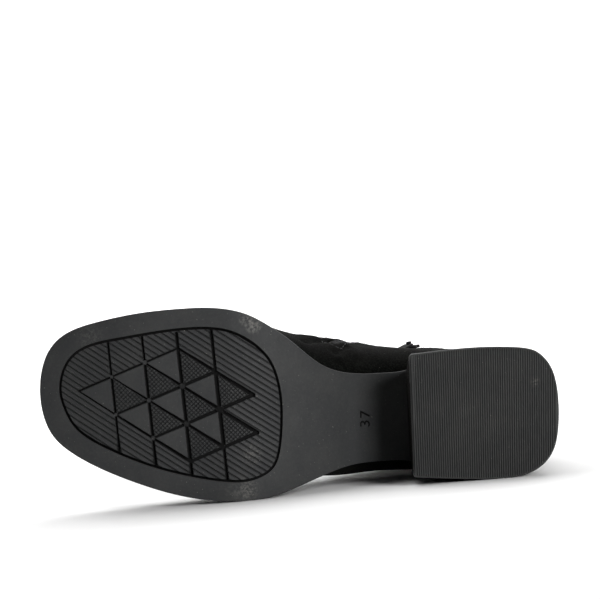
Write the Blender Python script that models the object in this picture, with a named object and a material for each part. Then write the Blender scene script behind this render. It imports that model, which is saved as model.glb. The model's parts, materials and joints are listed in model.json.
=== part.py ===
"""A right ankle boot with a block heel, lying on its lateral side.

The pieces are worked out in the boot's own frame: X runs from the back of the heel to the toe, Y points to
the medial side, Z points up from the walking plane. A parent empty then lays the finished boot on its lateral
side, with the toe towards -X, the medial side up and the sole facing -Y.
"""

import math

import bmesh
import bpy
import numpy as np
from mathutils import Matrix, Vector
from mathutils.bvhtree import BVHTree

# Driving sizes, in metres
OUTSOLE_LENGTH = 0.2492
BALL_WIDTH = 0.0934
SEAT_BACK = 0.002  # how far the heel stands out behind the seat
TOE_SPRING = 0.0105
SEAT_HEIGHT = 0.046  # underside of the outsole at the back of the heel
FOREFOOT_THICKNESS = 0.008
WAIST_THICKNESS = 0.0042
SOLE_BEVEL = 0.0010
SOLE_TOP_BEVEL = 0.0007
LUG_DEPTH = 0.0020
LOOP_GROOVE_WIDTH = 0.0013
LATTICE_GROOVE_WIDTH = 0.0011
HEEL_LENGTH = 0.071
HEEL_WIDTH = 0.0636
HEEL_BACK_HALF_WIDTH = 0.0159  # where the bevel of the top piece reaches its full width
BREAST_SKEW = 0.0022  # the breast runs further forward on the medial side
BREAST_CORNER = 0.0015
HEEL_SET_IN = 0.0008  # the top of the heel block inside the edge of the seat
TOP_PIECE_THICKNESS = 0.006
TOP_PIECE_BEVEL = 0.0006
FEATHER_SET_IN = 0.0020  # the upper inside the edge of the outsole at the ball
INSTEP_HEIGHT = 0.070
SHAFT_HEIGHT = 0.110  # collar above the heel seat
COLLAR_LENGTH = 0.096
COLLAR_WIDTH = 0.060
UPPER_WALL = 0.0020
INSOLE_THICKNESS = 0.0020
INSOLE_ROOM = 0.0016  # the insole inside the wall of the upper
CLEARANCE = 0.0003
ZIP_SLOT_WIDTH = 0.0058
ZIP_TAPE_WIDTH = 0.022
ZIP_TAPE_THICKNESS = 0.0007
TAPE_BEHIND_WALL = 0.0008
CHAIN_WIDTH = 0.0046
CHAIN_THICKNESS = 0.0015
CHAIN_SUNK = 0.0003  # the chain below the outside of the upper
SLIDER_LENGTH = 0.0105
SLIDER_WIDTH = 0.0078
SLIDER_THICKNESS = 0.0014
BAIL_LENGTH = 0.0044
BAIL_WIDTH = 0.0014
BAIL_THICKNESS = 0.0009
PIN_RADIUS = 0.0005
PULL_LENGTH = 0.0200
PULL_WIDTH = 0.0050
PULL_THICKNESS = 0.0009
PULL_REST_DEG = 4.5  # the pull leans down towards the upper at rest
SLIDER_CORNER = 0.0023
PIN_FROM_LOW_END = 0.0026  # the pull's pin behind the slider's low end
PULL_ARM_ROOM = 0.0004  # each arm of the pull beside the bail
PULL_WINDOW_PAST_BAIL = 0.0012
PULL_EYE_FROM_END = 0.0012
PULL_EYE_LENGTH = 0.0030
PULL_EYE_WIDTH = 0.0025
PULL_CORNER = 0.0005
SLIDER_BELOW_TOP = 0.0085


def table(names, rows):
    """Rows of numbers under their names, as one dictionary for each row."""
    return [dict(zip(names.split(), row)) for row in rows]


# How finely the curved pieces are divided
OUTSOLE_STATIONS = 54
HEEL_STATIONS = 22
UPPER_ROWS = 38
UPPER_HALF_COLUMNS = 13
LOOP_POINTS = 30
LATTICE_STEPS = 10
SECTION_SAMPLES = 60
SLOT_END_STEPS = 6
HEEL_LEVELS = (0.0, 0.35, 0.7, 1.0)
HEEL_TAPER_POWER = 1.3  # how late the heel narrows on its way up to the seat
ZIP_STATIONS = 16
TAPE_COLUMNS = 5

# Edge of the outsole seen from below: share of its length from the back, and shares of the ball width
OUTSOLE_EDGE = table("along medial lateral", [
    (0.0000, 0.000, 0.000), (0.0132, 0.199, -0.199), (0.0341, 0.270, -0.270), (0.0642, 0.309, -0.310),
    (0.1164, 0.325, -0.327), (0.1766, 0.318, -0.325), (0.2247, 0.282, -0.313), (0.2749, 0.212, -0.277),
    (0.3250, 0.193, -0.274), (0.3933, 0.195, -0.291), (0.4535, 0.247, -0.345), (0.5136, 0.375, -0.410),
    (0.5510, 0.444, -0.441), (0.5895, 0.500, -0.455), (0.6461, 0.537, -0.457), (0.7247, 0.536, -0.429),
    (0.8022, 0.514, -0.370), (0.8804, 0.471, -0.290), (0.9394, 0.419, -0.206), (0.9795, 0.328, -0.103),
    (0.9952, 0.229, 0.004), (1.0000, 0.116, 0.116),
])

# Underside of the outsole: shares of the seat height behind the ball and of the toe spring in front of it
OUTSOLE_PROFILE = table("along arch spring", [
    (0.000, 1.000, 0.00), (0.072, 0.992, 0.00), (0.152, 0.970, 0.00), (0.233, 0.930, 0.00),
    (0.275, 0.891, 0.00), (0.313, 0.826, 0.00), (0.353, 0.713, 0.00), (0.393, 0.574, 0.00),
    (0.433, 0.424, 0.00), (0.474, 0.287, 0.00), (0.514, 0.174, 0.00), (0.550, 0.087, 0.00),
    (0.590, 0.030, 0.00), (0.634, 0.000, 0.00), (0.754, 0.000, 0.00), (0.795, 0.000, 0.04),
    (0.835, 0.000, 0.12), (0.875, 0.000, 0.26), (0.915, 0.000, 0.44), (0.955, 0.000, 0.69),
    (1.000, 0.000, 1.00),
])
THIN_UNTIL_SHARE = 0.373  # share of the outsole's length where the waist starts to thicken
THICK_FROM_SHARE = 0.594

# Groove that loops round the tread, in the same shares as the edge
TREAD_LOOP = table("along medial lateral", [
    (0.5285, -0.011, -0.011), (0.5337, 0.134, -0.203), (0.5457, 0.238, -0.284), (0.5658, 0.315, -0.325),
    (0.5939, 0.375, -0.350), (0.6340, 0.422, -0.352), (0.6942, 0.435, -0.329), (0.7745, 0.412, -0.277),
    (0.8427, 0.380, -0.210), (0.8989, 0.346, -0.137), (0.9350, 0.289, -0.054), (0.9527, 0.214, 0.041),
    (0.9587, 0.117, 0.117),
])

# Lattice of triangular lugs inside the loop: its front corner and its two steps, in the same shares
LATTICE_CORNER_SHARES = (0.9222, 0.109)
STEP_BACK_SHARES = (-0.0662, 0.0743)  # back and to the medial side
STEP_ACROSS_SHARES = (-0.0081, -0.1949)  # to the lateral side
# Each straight groove runs between two places counted in steps back and steps across
LATTICE_GROOVES = [
    dict(start=(1.0, -0.90), end=(1.0, 2.02)),
    dict(start=(2.0, -0.70), end=(2.0, 2.70)),
    dict(start=(3.0, -0.40), end=(3.0, 3.32)),
    dict(start=(4.0, -0.08), end=(4.0, 3.84)),
    dict(start=(0.0, 0.00), end=(3.0, 0.00)),
    dict(start=(1.0, 1.00), end=(4.0, 1.00)),
    dict(start=(2.0, 2.00), end=(5.0, 2.00)),
    dict(start=(3.0, 3.00), end=(5.0, 3.00)),
    dict(start=(0.0, 0.00), end=(3.0, 3.00)),
    dict(start=(1.0, 0.00), end=(4.0, 3.00)),
    dict(start=(2.0, 0.00), end=(5.0, 3.00)),
    dict(start=(3.0, 0.00), end=(5.0, 2.00)),
]

# Walking face of the heel: share of its length from the back, and shares of its width
HEEL_EDGE = table("along medial lateral", [
    (0.000, 0.000, 0.000), (0.020, 0.239, -0.228), (0.049, 0.338, -0.310), (0.100, 0.420, -0.385),
    (0.159, 0.470, -0.434), (0.232, 0.491, -0.470), (0.344, 0.498, -0.494), (0.490, 0.497, -0.503),
    (0.704, 0.480, -0.502), (1.000, 0.440, -0.491),
])

# Sections of the upper from the toe to the instep. Each stands on the feather edge and rises to the ridge.
# base and ridge: shares of the outsole's length; rise: share of the instep height; over: share of the ball
# width that the ridge lies to the medial side; bulges: shares of the ball width outside the feather edge;
# widest: share of the rise; crown and flare: how square the section is above and below its widest place
VAMP_SECTIONS = table("base ridge rise over medial lateral widest crown flare", [
    (1.000, 1.000, 0.000, 0.116, 0.000, 0.000, 0.34, 2.2, 1.6),
    (0.990, 0.990, 0.165, 0.116, 0.002, 0.002, 0.34, 2.2, 1.6),
    (0.961, 0.957, 0.275, 0.115, 0.006, 0.006, 0.32, 2.3, 1.6),
    (0.916, 0.908, 0.345, 0.109, 0.012, 0.012, 0.30, 2.3, 1.6),
    (0.856, 0.848, 0.415, 0.098, 0.015, 0.016, 0.29, 2.2, 1.6),
    (0.783, 0.776, 0.505, 0.086, 0.014, 0.018, 0.28, 2.1, 1.6),
    (0.703, 0.700, 0.625, 0.075, 0.008, 0.014, 0.26, 2.0, 1.6),
    (0.618, 0.628, 0.775, 0.059, 0.000, 0.006, 0.25, 2.0, 1.6),
    (0.535, 0.560, 0.925, 0.040, 0.040, 0.010, 0.30, 2.0, 1.6),
    (0.462, 0.512, 1.000, 0.025, 0.152, 0.035, 0.38, 2.0, 1.7),
])

# Sections that fan round the heel, all on the feather edge. forward and up: shares of the way from the instep
# to the front of the collar; medial and lateral: greatest half widths, in shares of the collar width
ANKLE_SECTIONS = table("base forward up over medial lateral widest crown flare", [
    (0.385, 0.290, 0.145, 0.012, 0.577, 0.570, 0.41, 2.0, 1.8),
    (0.305, 0.490, 0.265, 0.004, 0.535, 0.550, 0.41, 2.0, 1.9),
    (0.225, 0.630, 0.360, 0.000, 0.504, 0.535, 0.38, 2.0, 2.0),
    (0.145, 0.730, 0.440, 0.000, 0.489, 0.524, 0.38, 2.0, 2.0),
    (0.078, 0.800, 0.515, 0.000, 0.481, 0.518, 0.34, 2.0, 2.2),
    (0.025, 0.860, 0.590, 0.000, 0.479, 0.514, 0.26, 2.0, 2.8),
    (0.000, 0.905, 0.660, 0.000, 0.478, 0.512, 0.20, 2.0, 4.2),
])

# Closed sections up the shaft. back and height: the back of each, in shares of the collar length behind the
# seat's edge and of the shaft height; the rest as above
SHAFT_SECTIONS = table("back height forward up medial lateral widest crown flare", [
    (-0.026, 0.095, 0.935, 0.725, 0.477, 0.511, 0.24, 2.0, 3.8),
    (-0.036, 0.215, 0.960, 0.785, 0.476, 0.512, 0.30, 2.0, 3.4),
    (-0.018, 0.345, 0.978, 0.838, 0.475, 0.514, 0.35, 2.0, 3.1),
    (0.016, 0.480, 0.990, 0.885, 0.472, 0.514, 0.40, 2.0, 2.8),
    (0.046, 0.635, 0.997, 0.927, 0.470, 0.512, 0.44, 2.0, 2.6),
    (0.060, 0.810, 1.000, 0.965, 0.470, 0.512, 0.48, 2.1, 2.3),
    (0.060, 1.000, 1.000, 1.000, 0.472, 0.514, 0.48, 2.1, 2.3),
])
COLLAR_FRONT_DROP_SHARE = 0.02  # how much lower the collar's front lies, as a share of the shaft height

# Zip on the medial side, seen from that side: shares of the outsole's length and of the shaft height
# above the heel seat
ZIP_LOW_SHARES = (0.426, -0.035)
ZIP_TOP_SHARES = (0.238, 0.965)
TAPE_BELOW_ZIP_SHARE = -0.07  # where the tape starts below the zip, as a share of its length
SLOT_TOP_SHARE = 1.6  # where the slot's cutter ends above the collar, as a share of the zip's length
SLOT_FROM_MIDDLE_SHARE = 0.1  # where the cutter starts beside the boot's middle, as a share of the ball width

RUBBER_DENSITY = 1100.0
SOLE_DENSITY = 950.0
UPPER_DENSITY = 850.0


def spline(places, heights):
    """Natural cubic spline through the points, as a function of the place."""
    places = np.asarray(places, float)
    heights = np.asarray(heights, float)
    count = len(places)
    gaps = np.diff(places)
    slopes = np.diff(heights) / gaps
    system = np.eye(count)
    right = np.zeros(count)
    for row in range(1, count - 1):
        system[row, row - 1 : row + 2] = gaps[row - 1], 2 * (gaps[row - 1] + gaps[row]), gaps[row]
        right[row] = 6 * (slopes[row] - slopes[row - 1])
    bends = np.linalg.solve(system, right)

    def at(place):
        row = int(np.clip(np.searchsorted(places, place) - 1, 0, count - 2))
        gap = gaps[row]
        before = (places[row + 1] - place) / gap
        after = (place - places[row]) / gap
        curve = (before**3 - before) * bends[row] + (after**3 - after) * bends[row + 1]
        return before * heights[row] + after * heights[row + 1] + curve * gap * gap / 6

    return at


def steady(places, heights):
    """Cubic curve through the points that never overshoots and stays flat between equal heights."""
    places = np.asarray(places, float)
    heights = np.asarray(heights, float)
    gaps = np.diff(places)
    slopes = np.diff(heights) / gaps
    tangents = np.zeros(len(places))
    for row in range(1, len(places) - 1):
        if slopes[row - 1] * slopes[row] > 0:
            tangents[row] = 2 * slopes[row - 1] * slopes[row] / (slopes[row - 1] + slopes[row])
    tangents[0], tangents[-1] = slopes[0], slopes[-1]

    def at(place):
        row = int(np.clip(np.searchsorted(places, place) - 1, 0, len(places) - 2))
        gap = gaps[row]
        t = (place - places[row]) / gap
        rise = heights[row + 1] - heights[row]
        return (
            heights[row]
            + rise * (3 * t * t - 2 * t**3)
            + gap * (tangents[row] * (t - 2 * t * t + t**3) + tangents[row + 1] * (t**3 - t * t))
        )

    return at


def smoothstep(low, high, value):
    t = min(max((value - low) / (high - low), 0.0), 1.0)
    return t * t * (3 - 2 * t)


def column(rows, name):
    return [row[name] for row in rows]


def around(share):
    """The half turn that a share of a closed outline's length stands for, so that its ends come out round."""
    return math.acos(1 - 2 * min(max(share, 0.0), 1.0))


def outline(rows, width):
    """Both sides of a closed outline as functions of the share of its length, with round ends."""
    low = rows[0]["along"]
    reach = rows[-1]["along"] - low
    turns = [around((row["along"] - low) / reach) for row in rows]
    medial = spline(turns, column(rows, "medial"))
    lateral = spline(turns, column(rows, "lateral"))

    def at(share):
        turn = around((share - low) / reach)
        return medial(turn) * width, lateral(turn) * width

    return at


outsole_edge = outline(OUTSOLE_EDGE, BALL_WIDTH)
tread_loop = outline(TREAD_LOOP, BALL_WIDTH)
arch_share = steady(column(OUTSOLE_PROFILE, "along"), column(OUTSOLE_PROFILE, "arch"))
spring_share = steady(column(OUTSOLE_PROFILE, "along"), column(OUTSOLE_PROFILE, "spring"))


def sole_x(share):
    return SEAT_BACK + share * OUTSOLE_LENGTH


def sole_share(x):
    return (x - SEAT_BACK) / OUTSOLE_LENGTH


def sole_underside(x):
    share = min(max(sole_share(x), 0.0), 1.0)
    return arch_share(share) * SEAT_HEIGHT + spring_share(share) * TOE_SPRING


def sole_thickness(x):
    swell = smoothstep(THIN_UNTIL_SHARE, THICK_FROM_SHARE, sole_share(x))
    return WAIST_THICKNESS + (FOREFOOT_THICKNESS - WAIST_THICKNESS) * swell


def sole_top(x):
    return sole_underside(x) + sole_thickness(x)


EDGE_STEPS = 240
edge_lines = {}


def edge_line(inset):
    """Both sides of the outsole's edge, drawn in by inset all round, as places and widths to read between."""
    if inset not in edge_lines:
        turns = [math.pi * k / EDGE_STEPS for k in range(EDGE_STEPS + 1)]
        shares = [(1 - math.cos(turn)) / 2 for turn in turns]
        x = np.array([sole_x(share) for share in shares])
        sides = []
        for side, sign in ((0, 1), (1, -1)):
            y = np.array([outsole_edge(share)[side] for share in shares])
            slope_x, slope_y = np.gradient(x), np.gradient(y)
            length = np.maximum(np.hypot(slope_x, slope_y), 1e-12)
            moved_x = x + sign * inset * slope_y / length
            moved_y = y - sign * inset * slope_x / length
            keep = np.concatenate([[True], np.diff(np.maximum.accumulate(moved_x)) > 0])
            sides.append((moved_x[keep], moved_y[keep]))
        edge_lines[inset] = sides
    return edge_lines[inset]


def edge_at(x, inset):
    """Medial and lateral side of the outsole's edge at a place along it, drawn in by inset."""
    return tuple(float(np.interp(x, *side)) for side in edge_line(inset))


def drawn_in(share, inset):
    """A place along the outsole's edge drawn in by inset, with its two sides."""
    x = sole_x(share) + inset * (1 - 2 * share)
    medial, lateral = edge_at(x, inset)
    if share in (0.0, 1.0):
        medial = lateral = (medial + lateral) / 2
    return x, medial, lateral


def new_object(name, vertices, faces, finish, smooth_deg=40.0):
    """A mesh object under the boot's frame, with doubles merged and flat faces turned outwards."""
    mesh = bpy.data.meshes.new(name)
    mesh.from_pydata([tuple(v) for v in vertices], [], faces)
    work = bmesh.new()
    work.from_mesh(mesh)
    bmesh.ops.remove_doubles(work, verts=work.verts, dist=2e-6)
    bmesh.ops.recalc_face_normals(work, faces=work.faces)
    work.to_mesh(mesh)
    work.free()
    mesh.shade_smooth()
    mesh.set_sharp_from_angle(angle=math.radians(smooth_deg))
    if finish:
        mesh.materials.append(finish)
    made = bpy.data.objects.new(name, mesh)
    bpy.context.scene.collection.objects.link(made)
    return made


def finish(name, hex_colour, roughness, metallic=0.0):
    """Principled material from an sRGB colour."""
    made = bpy.data.materials.new(name)
    made.use_nodes = True
    shader = made.node_tree.nodes["Principled BSDF"]
    channels = [int(hex_colour[i : i + 2], 16) / 255 for i in (1, 3, 5)]
    linear = [c / 12.92 if c <= 0.04045 else ((c + 0.055) / 1.055) ** 2.4 for c in channels]
    shader.inputs["Base Color"].default_value = (*linear, 1.0)
    shader.inputs["Roughness"].default_value = roughness
    shader.inputs["Metallic"].default_value = metallic
    return made


def lofted(rings):
    """Vertices and faces of a body from rings, each a list of (medial point, lateral point) pairs.

    The rings are joined round their edge, and the first and the last are closed straight across.
    """
    pairs = len(rings[0])
    vertices = []
    for ring in rings:
        vertices += [medial for medial, _ in ring] + [lateral for _, lateral in reversed(ring)]
    size = 2 * pairs
    faces = []
    for level in range(len(rings) - 1):
        low, high = level * size, (level + 1) * size
        for i in range(size):
            j = (i + 1) % size
            faces.append((low + i, low + j, high + j, high + i))
    for start in (0, (len(rings) - 1) * size):
        for i in range(pairs - 1):
            faces.append((start + i, start + i + 1, start + size - 2 - i, start + size - 1 - i))
    return vertices, faces


def make_outsole(rubber):
    """Forefoot, waist and seat: a bevelled edge, with the tread's grooves cut into the forefoot."""
    edges = [
        dict(inset=SOLE_BEVEL, up=0.0),
        dict(inset=0.0, up=SOLE_BEVEL / FOREFOOT_THICKNESS),
        dict(inset=0.0, up=1 - SOLE_BEVEL / FOREFOOT_THICKNESS),
        dict(inset=SOLE_TOP_BEVEL, up=1.0),
    ]
    rings = []
    for edge in edges:
        ring = []
        for step in range(OUTSOLE_STATIONS + 1):
            share = (1 - math.cos(math.pi * step / OUTSOLE_STATIONS)) / 2
            x, medial, lateral = drawn_in(share, edge["inset"])
            z = sole_underside(x) + edge["up"] * sole_thickness(x)
            ring.append(((x, medial, z), (x, lateral, z)))
        rings.append(ring)
    outsole = new_object("outsole", *lofted(rings), rubber)
    grooves = bpy.data.collections.new("tread_grooves")
    bpy.context.scene.collection.children.link(grooves)
    cut_loop(grooves)
    cut_lattice(grooves)
    cut = outsole.modifiers.new("tread", "BOOLEAN")
    cut.operation = "DIFFERENCE"
    cut.solver = "EXACT"
    cut.operand_type = "COLLECTION"
    cut.collection = grooves
    return outsole


def groove_cutter(name, route, width, closed, grooves):
    """A band of rectangular section that follows the underside of the sole along a route seen from below."""
    count = len(route)
    vertices = []
    for i, place in enumerate(route):
        before = route[i - 1] if closed or i else place
        after = route[(i + 1) % count] if closed or i < count - 1 else place
        along = Vector((after[0] - before[0], after[1] - before[1])).normalized()
        side = Vector((-along.y, along.x)) * width / 2
        floor = sole_underside(place[0])
        out, deep = floor - LUG_DEPTH, floor + LUG_DEPTH
        for sign, z in ((1, out), (1, deep), (-1, deep), (-1, out)):
            vertices.append((place[0] + sign * side.x, place[1] + sign * side.y, z))
    faces = []
    for i in range(count if closed else count - 1):
        j = (i + 1) % count
        for k in range(4):
            m = (k + 1) % 4
            faces.append((4 * i + k, 4 * i + m, 4 * j + m, 4 * j + k))
    if not closed:
        faces += [(0, 1, 2, 3), tuple(4 * (count - 1) + k for k in range(4))]
    cutter = new_object(name, vertices, faces, None)
    bpy.context.scene.collection.objects.unlink(cutter)
    grooves.objects.link(cutter)
    cutter.hide_render = True
    cutter.display_type = "WIRE"


def cut_loop(grooves):
    low, high = TREAD_LOOP[0]["along"], TREAD_LOOP[-1]["along"]
    turns = [math.pi * k / LOOP_POINTS for k in range(LOOP_POINTS + 1)]
    shares = [low + (high - low) * (1 - math.cos(turn)) / 2 for turn in turns]
    medial = [(sole_x(share), tread_loop(share)[0]) for share in shares]
    lateral = [(sole_x(share), tread_loop(share)[1]) for share in shares]
    route = medial + lateral[-2:0:-1]
    groove_cutter("groove_loop", route, LOOP_GROOVE_WIDTH, True, grooves)


def lattice_place(steps):
    """A place on the sole, in metres, from counts of steps back and steps across."""
    back, across = steps
    along = LATTICE_CORNER_SHARES[0] + back * STEP_BACK_SHARES[0] + across * STEP_ACROSS_SHARES[0]
    over = LATTICE_CORNER_SHARES[1] + back * STEP_BACK_SHARES[1] + across * STEP_ACROSS_SHARES[1]
    return sole_x(along), over * BALL_WIDTH


def cut_lattice(grooves):
    for number, groove in enumerate(LATTICE_GROOVES):
        start = Vector(lattice_place(groove["start"]))
        end = Vector(lattice_place(groove["end"]))
        route = [tuple(start.lerp(end, k / LATTICE_STEPS)) for k in range(LATTICE_STEPS + 1)]
        groove_cutter(f"groove_{number}", route, LATTICE_GROOVE_WIDTH, False, grooves)


heel_turns = [math.sqrt(row["along"]) for row in HEEL_EDGE]
heel_medial = spline(heel_turns, column(HEEL_EDGE, "medial"))
heel_lateral = spline(heel_turns, column(HEEL_EDGE, "lateral"))


def heel_pairs(blend, z_of, inset=0.0):
    """One ring of the heel, from the breast back. blend is 0 on the walking face and 1 under the seat."""
    ring = []
    for step in range(HEEL_STATIONS + 2):
        # the first two steps are the two ends of the bevelled corner beside the breast
        back = max(step - 1, 0) / HEEL_STATIONS
        share = (1 - back) ** 2
        sides = []
        for sign, width in ((1, heel_medial(math.sqrt(share))), (-1, heel_lateral(math.sqrt(share)))):
            reach = HEEL_LENGTH + sign * BREAST_SKEW / 2
            narrow = min(1.0, abs(width) * HEEL_WIDTH / HEEL_BACK_HALF_WIDTH) if back else 0.0
            face_x = inset + share * (reach - 2 * inset)
            face_y = width * HEEL_WIDTH - sign * inset * narrow
            seat_x = SEAT_BACK + HEEL_SET_IN + share * (reach - SEAT_BACK - HEEL_SET_IN)
            medial, lateral = edge_at(seat_x, HEEL_SET_IN)
            seat_y = medial if sign > 0 else lateral
            x = face_x + (seat_x - face_x) * blend
            y = face_y + (seat_y - face_y) * blend
            if step == 0:
                y -= sign * BREAST_CORNER
            elif step == 1:
                x -= BREAST_CORNER
            sides.append((x, y, z_of(x)))
        ring.append(tuple(sides))
    return ring


def make_heel_block(block):
    """Block heel that tapers from the walking face to the narrower seat, under the seat's own curve."""
    bottom = TOP_PIECE_THICKNESS + CLEARANCE
    rings = []
    for up in HEEL_LEVELS:
        def level(x, up=up):
            return bottom + up * (sole_underside(x) - CLEARANCE - bottom)

        rings.append(heel_pairs(up**HEEL_TAPER_POWER, level))
    return new_object("heel_block", *lofted(rings), block)


def make_top_piece(rubber):
    """Wearing piece under the heel, flat on the walking plane."""
    rings = [
        heel_pairs(0.0, lambda x: 0.0, TOP_PIECE_BEVEL),
        heel_pairs(0.0, lambda x: TOP_PIECE_BEVEL),
        heel_pairs(0.0, lambda x: TOP_PIECE_THICKNESS),
    ]
    return new_object("heel_top_piece", *lofted(rings), rubber)


def upper_sections():
    """Every section of the upper in metres, from the toe to the collar."""
    rows = []
    for row in VAMP_SECTIONS:
        ridge_x = sole_x(row["ridge"]) + FEATHER_SET_IN * (1 - 2 * row["ridge"])
        foot = sole_top(sole_x(row["base"])) + CLEARANCE
        _, medial, lateral = drawn_in(row["base"], FEATHER_SET_IN)
        rows.append(
            dict(base=row["base"], ridge_x=ridge_x, ridge_z=foot + row["rise"] * INSTEP_HEIGHT,
                 over=row["over"] * BALL_WIDTH, medial=medial + row["medial"] * BALL_WIDTH,
                 lateral=-lateral + row["lateral"] * BALL_WIDTH,
                 widest=row["widest"], crown=row["crown"], flare=row["flare"])
        )
    instep_x, instep_z = rows[-1]["ridge_x"], rows[-1]["ridge_z"]
    seat = sole_top(SEAT_BACK)
    collar_x = SEAT_BACK + FEATHER_SET_IN + (SHAFT_SECTIONS[-1]["back"] + 1) * COLLAR_LENGTH
    collar_z = seat + SHAFT_HEIGHT * (1 - COLLAR_FRONT_DROP_SHARE)
    for row in ANKLE_SECTIONS + SHAFT_SECTIONS:
        rows.append(
            dict(base=row.get("base", 0.0), ridge_x=instep_x + row["forward"] * (collar_x - instep_x),
                 ridge_z=instep_z + row["up"] * (collar_z - instep_z), over=row.get("over", 0.0) * BALL_WIDTH,
                 medial=row["medial"] * COLLAR_WIDTH, lateral=row["lateral"] * COLLAR_WIDTH,
                 widest=row["widest"], crown=row["crown"], flare=row["flare"])
        )
    return rows


def section_curves():
    """A function that gives the section at any place between the first one, at 0, and the last."""
    rows = upper_sections()
    numbers = range(len(rows))
    names = ("ridge_x", "ridge_z", "over", "medial", "lateral", "widest", "crown", "flare")
    curves = {name: spline(numbers, column(rows, name)) for name in names}
    foot_count = len(VAMP_SECTIONS) + len(ANKLE_SECTIONS)
    turns = spline(range(foot_count), [around(rows[i]["base"]) for i in range(foot_count)])
    seat = sole_top(SEAT_BACK) + CLEARANCE
    heel_back = SEAT_BACK + FEATHER_SET_IN
    backs = [dict(back=0.0, height=0.0)] + SHAFT_SECTIONS
    back_numbers = range(foot_count - 1, len(rows))
    back_x = spline(back_numbers, [heel_back + row["back"] * COLLAR_LENGTH for row in backs])
    back_z = spline(back_numbers, [seat + row["height"] * SHAFT_HEIGHT for row in backs])

    def at(place):
        found = {name: curve(place) for name, curve in curves.items()}
        if place < foot_count - 1:
            share = (1 - math.cos(min(max(turns(place), 0.0), math.pi))) / 2
            x, medial, lateral = drawn_in(share, FEATHER_SET_IN)
            found.update(base=(x, sole_top(x) + CLEARANCE), feather=(medial, lateral))
        else:
            found.update(base=(back_x(place), back_z(place)), feather=(0.0, 0.0))
        return found

    return at, foot_count - 1, len(rows) - 1


def half_section(found, sign, columns):
    """Points of one side of a section, from the feather edge to the ridge, evenly spaced along the curve."""
    feather = found["feather"][0 if sign > 0 else 1]
    widest = sign * found["medial" if sign > 0 else "lateral"]
    over, level, crown, flare = found["over"], found["widest"], found["crown"], found["flare"]
    fine = []
    for k in range(SECTION_SAMPLES + 1):
        turn = math.pi * k / SECTION_SAMPLES
        if turn < math.pi / 2:
            height = level * (1 - math.cos(turn))
            y = feather + (widest - feather) * (1 - math.cos(turn) ** 2) ** (1 / flare)
        else:
            height = level + (1 - level) * (-math.cos(turn)) ** (2 / crown)
            y = over + (widest - over) * max(math.sin(turn), 0.0) ** (2 / crown)
        x = found["base"][0] + height * (found["ridge_x"] - found["base"][0])
        z = found["base"][1] + height * (found["ridge_z"] - found["base"][1])
        fine.append((x, y, z))
    fine = np.array(fine)
    steps = np.linalg.norm(np.diff(fine, axis=0), axis=1)
    run = np.concatenate([[0.0], np.cumsum(steps)])
    even = np.linspace(0.0, run[-1], columns + 1)
    return [tuple(np.interp(e, run, fine[:, axis]) for axis in range(3)) for e in even]


def upper_grid():
    """Outer and inner points of the upper, row by row, each row from the medial base over the ridge."""
    at, last_open, last = section_curves()
    places = list(np.linspace(0.0, last, UPPER_ROWS + 1))
    places[min(range(len(places)), key=lambda i: abs(places[i] - last_open))] = last_open
    columns = UPPER_HALF_COLUMNS
    outer = []
    for place in places:
        found = at(place)
        medial = half_section(found, 1, columns)
        lateral = half_section(found, -1, columns)
        outer.append(medial + lateral[-2::-1])
    outer = np.array(outer)
    closed_from = places.index(last_open)
    outer[closed_from:, -1] = outer[closed_from:, 0]
    outer[0, :] = outer[0].mean(axis=0)
    normals = grid_normals(outer, closed_from)
    inner = outer - UPPER_WALL * normals
    for row in range(1, closed_from):
        for end in (0, -1):
            flat = normals[row, end] * (1, 1, 0)
            inner[row, end] = outer[row, end] - UPPER_WALL * flat / np.linalg.norm(flat)
    inner[0, :] = outer[0, 0] - (UPPER_WALL, 0, 0)
    inner[closed_from, 0] = outer[closed_from, 0] + (UPPER_WALL, 0, 0)
    inner[closed_from:, -1] = inner[closed_from:, 0]
    inner[-1, :, 2] = outer[-1, :, 2]
    return outer, inner, closed_from


def grid_normals(grid, closed_from):
    """Outward normals of the grid by central differences, with the closed rows wrapped round."""
    down = np.gradient(grid, axis=0)
    along = np.gradient(grid, axis=1)
    wrap = grid[closed_from:, 1] - grid[closed_from:, -2]
    along[closed_from:, 0] = wrap / 2
    along[closed_from:, -1] = wrap / 2
    normals = np.cross(along, down)
    lengths = np.linalg.norm(normals, axis=2, keepdims=True)
    normals = normals / np.maximum(lengths, 1e-12)
    middle = UPPER_HALF_COLUMNS
    if normals[-1, middle, 0] < 0:
        normals = -normals
    return normals


def make_upper(suede):
    """Vamp, quarters and shaft as one wall, with a slot for the zip."""
    outer, inner, closed_from = upper_grid()
    rows, columns = outer.shape[:2]
    vertices = list(outer.reshape(-1, 3)) + list(inner.reshape(-1, 3))
    inside = rows * columns
    faces = []
    for i in range(rows - 1):
        for j in range(columns - 1):
            a, b = i * columns + j, i * columns + j + 1
            c, d = b + columns, a + columns
            faces.append((a, b, c, d))
            faces.append((inside + d, inside + c, inside + b, inside + a))
    for i in range(closed_from):
        for j in (0, columns - 1):
            a, b = i * columns + j, (i + 1) * columns + j
            faces.append((a, b, inside + b, inside + a))
    for j in range(columns - 1):
        a = (rows - 1) * columns + j
        faces.append((a, a + 1, inside + a + 1, inside + a))
    upper = new_object("upper", vertices, faces, suede, 50.0)
    slot = make_zip_slot()
    cut = upper.modifiers.new("zip_slot", "BOOLEAN")
    cut.operation = "DIFFERENCE"
    cut.solver = "EXACT"
    cut.object = slot
    return upper, outer, inner


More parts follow.
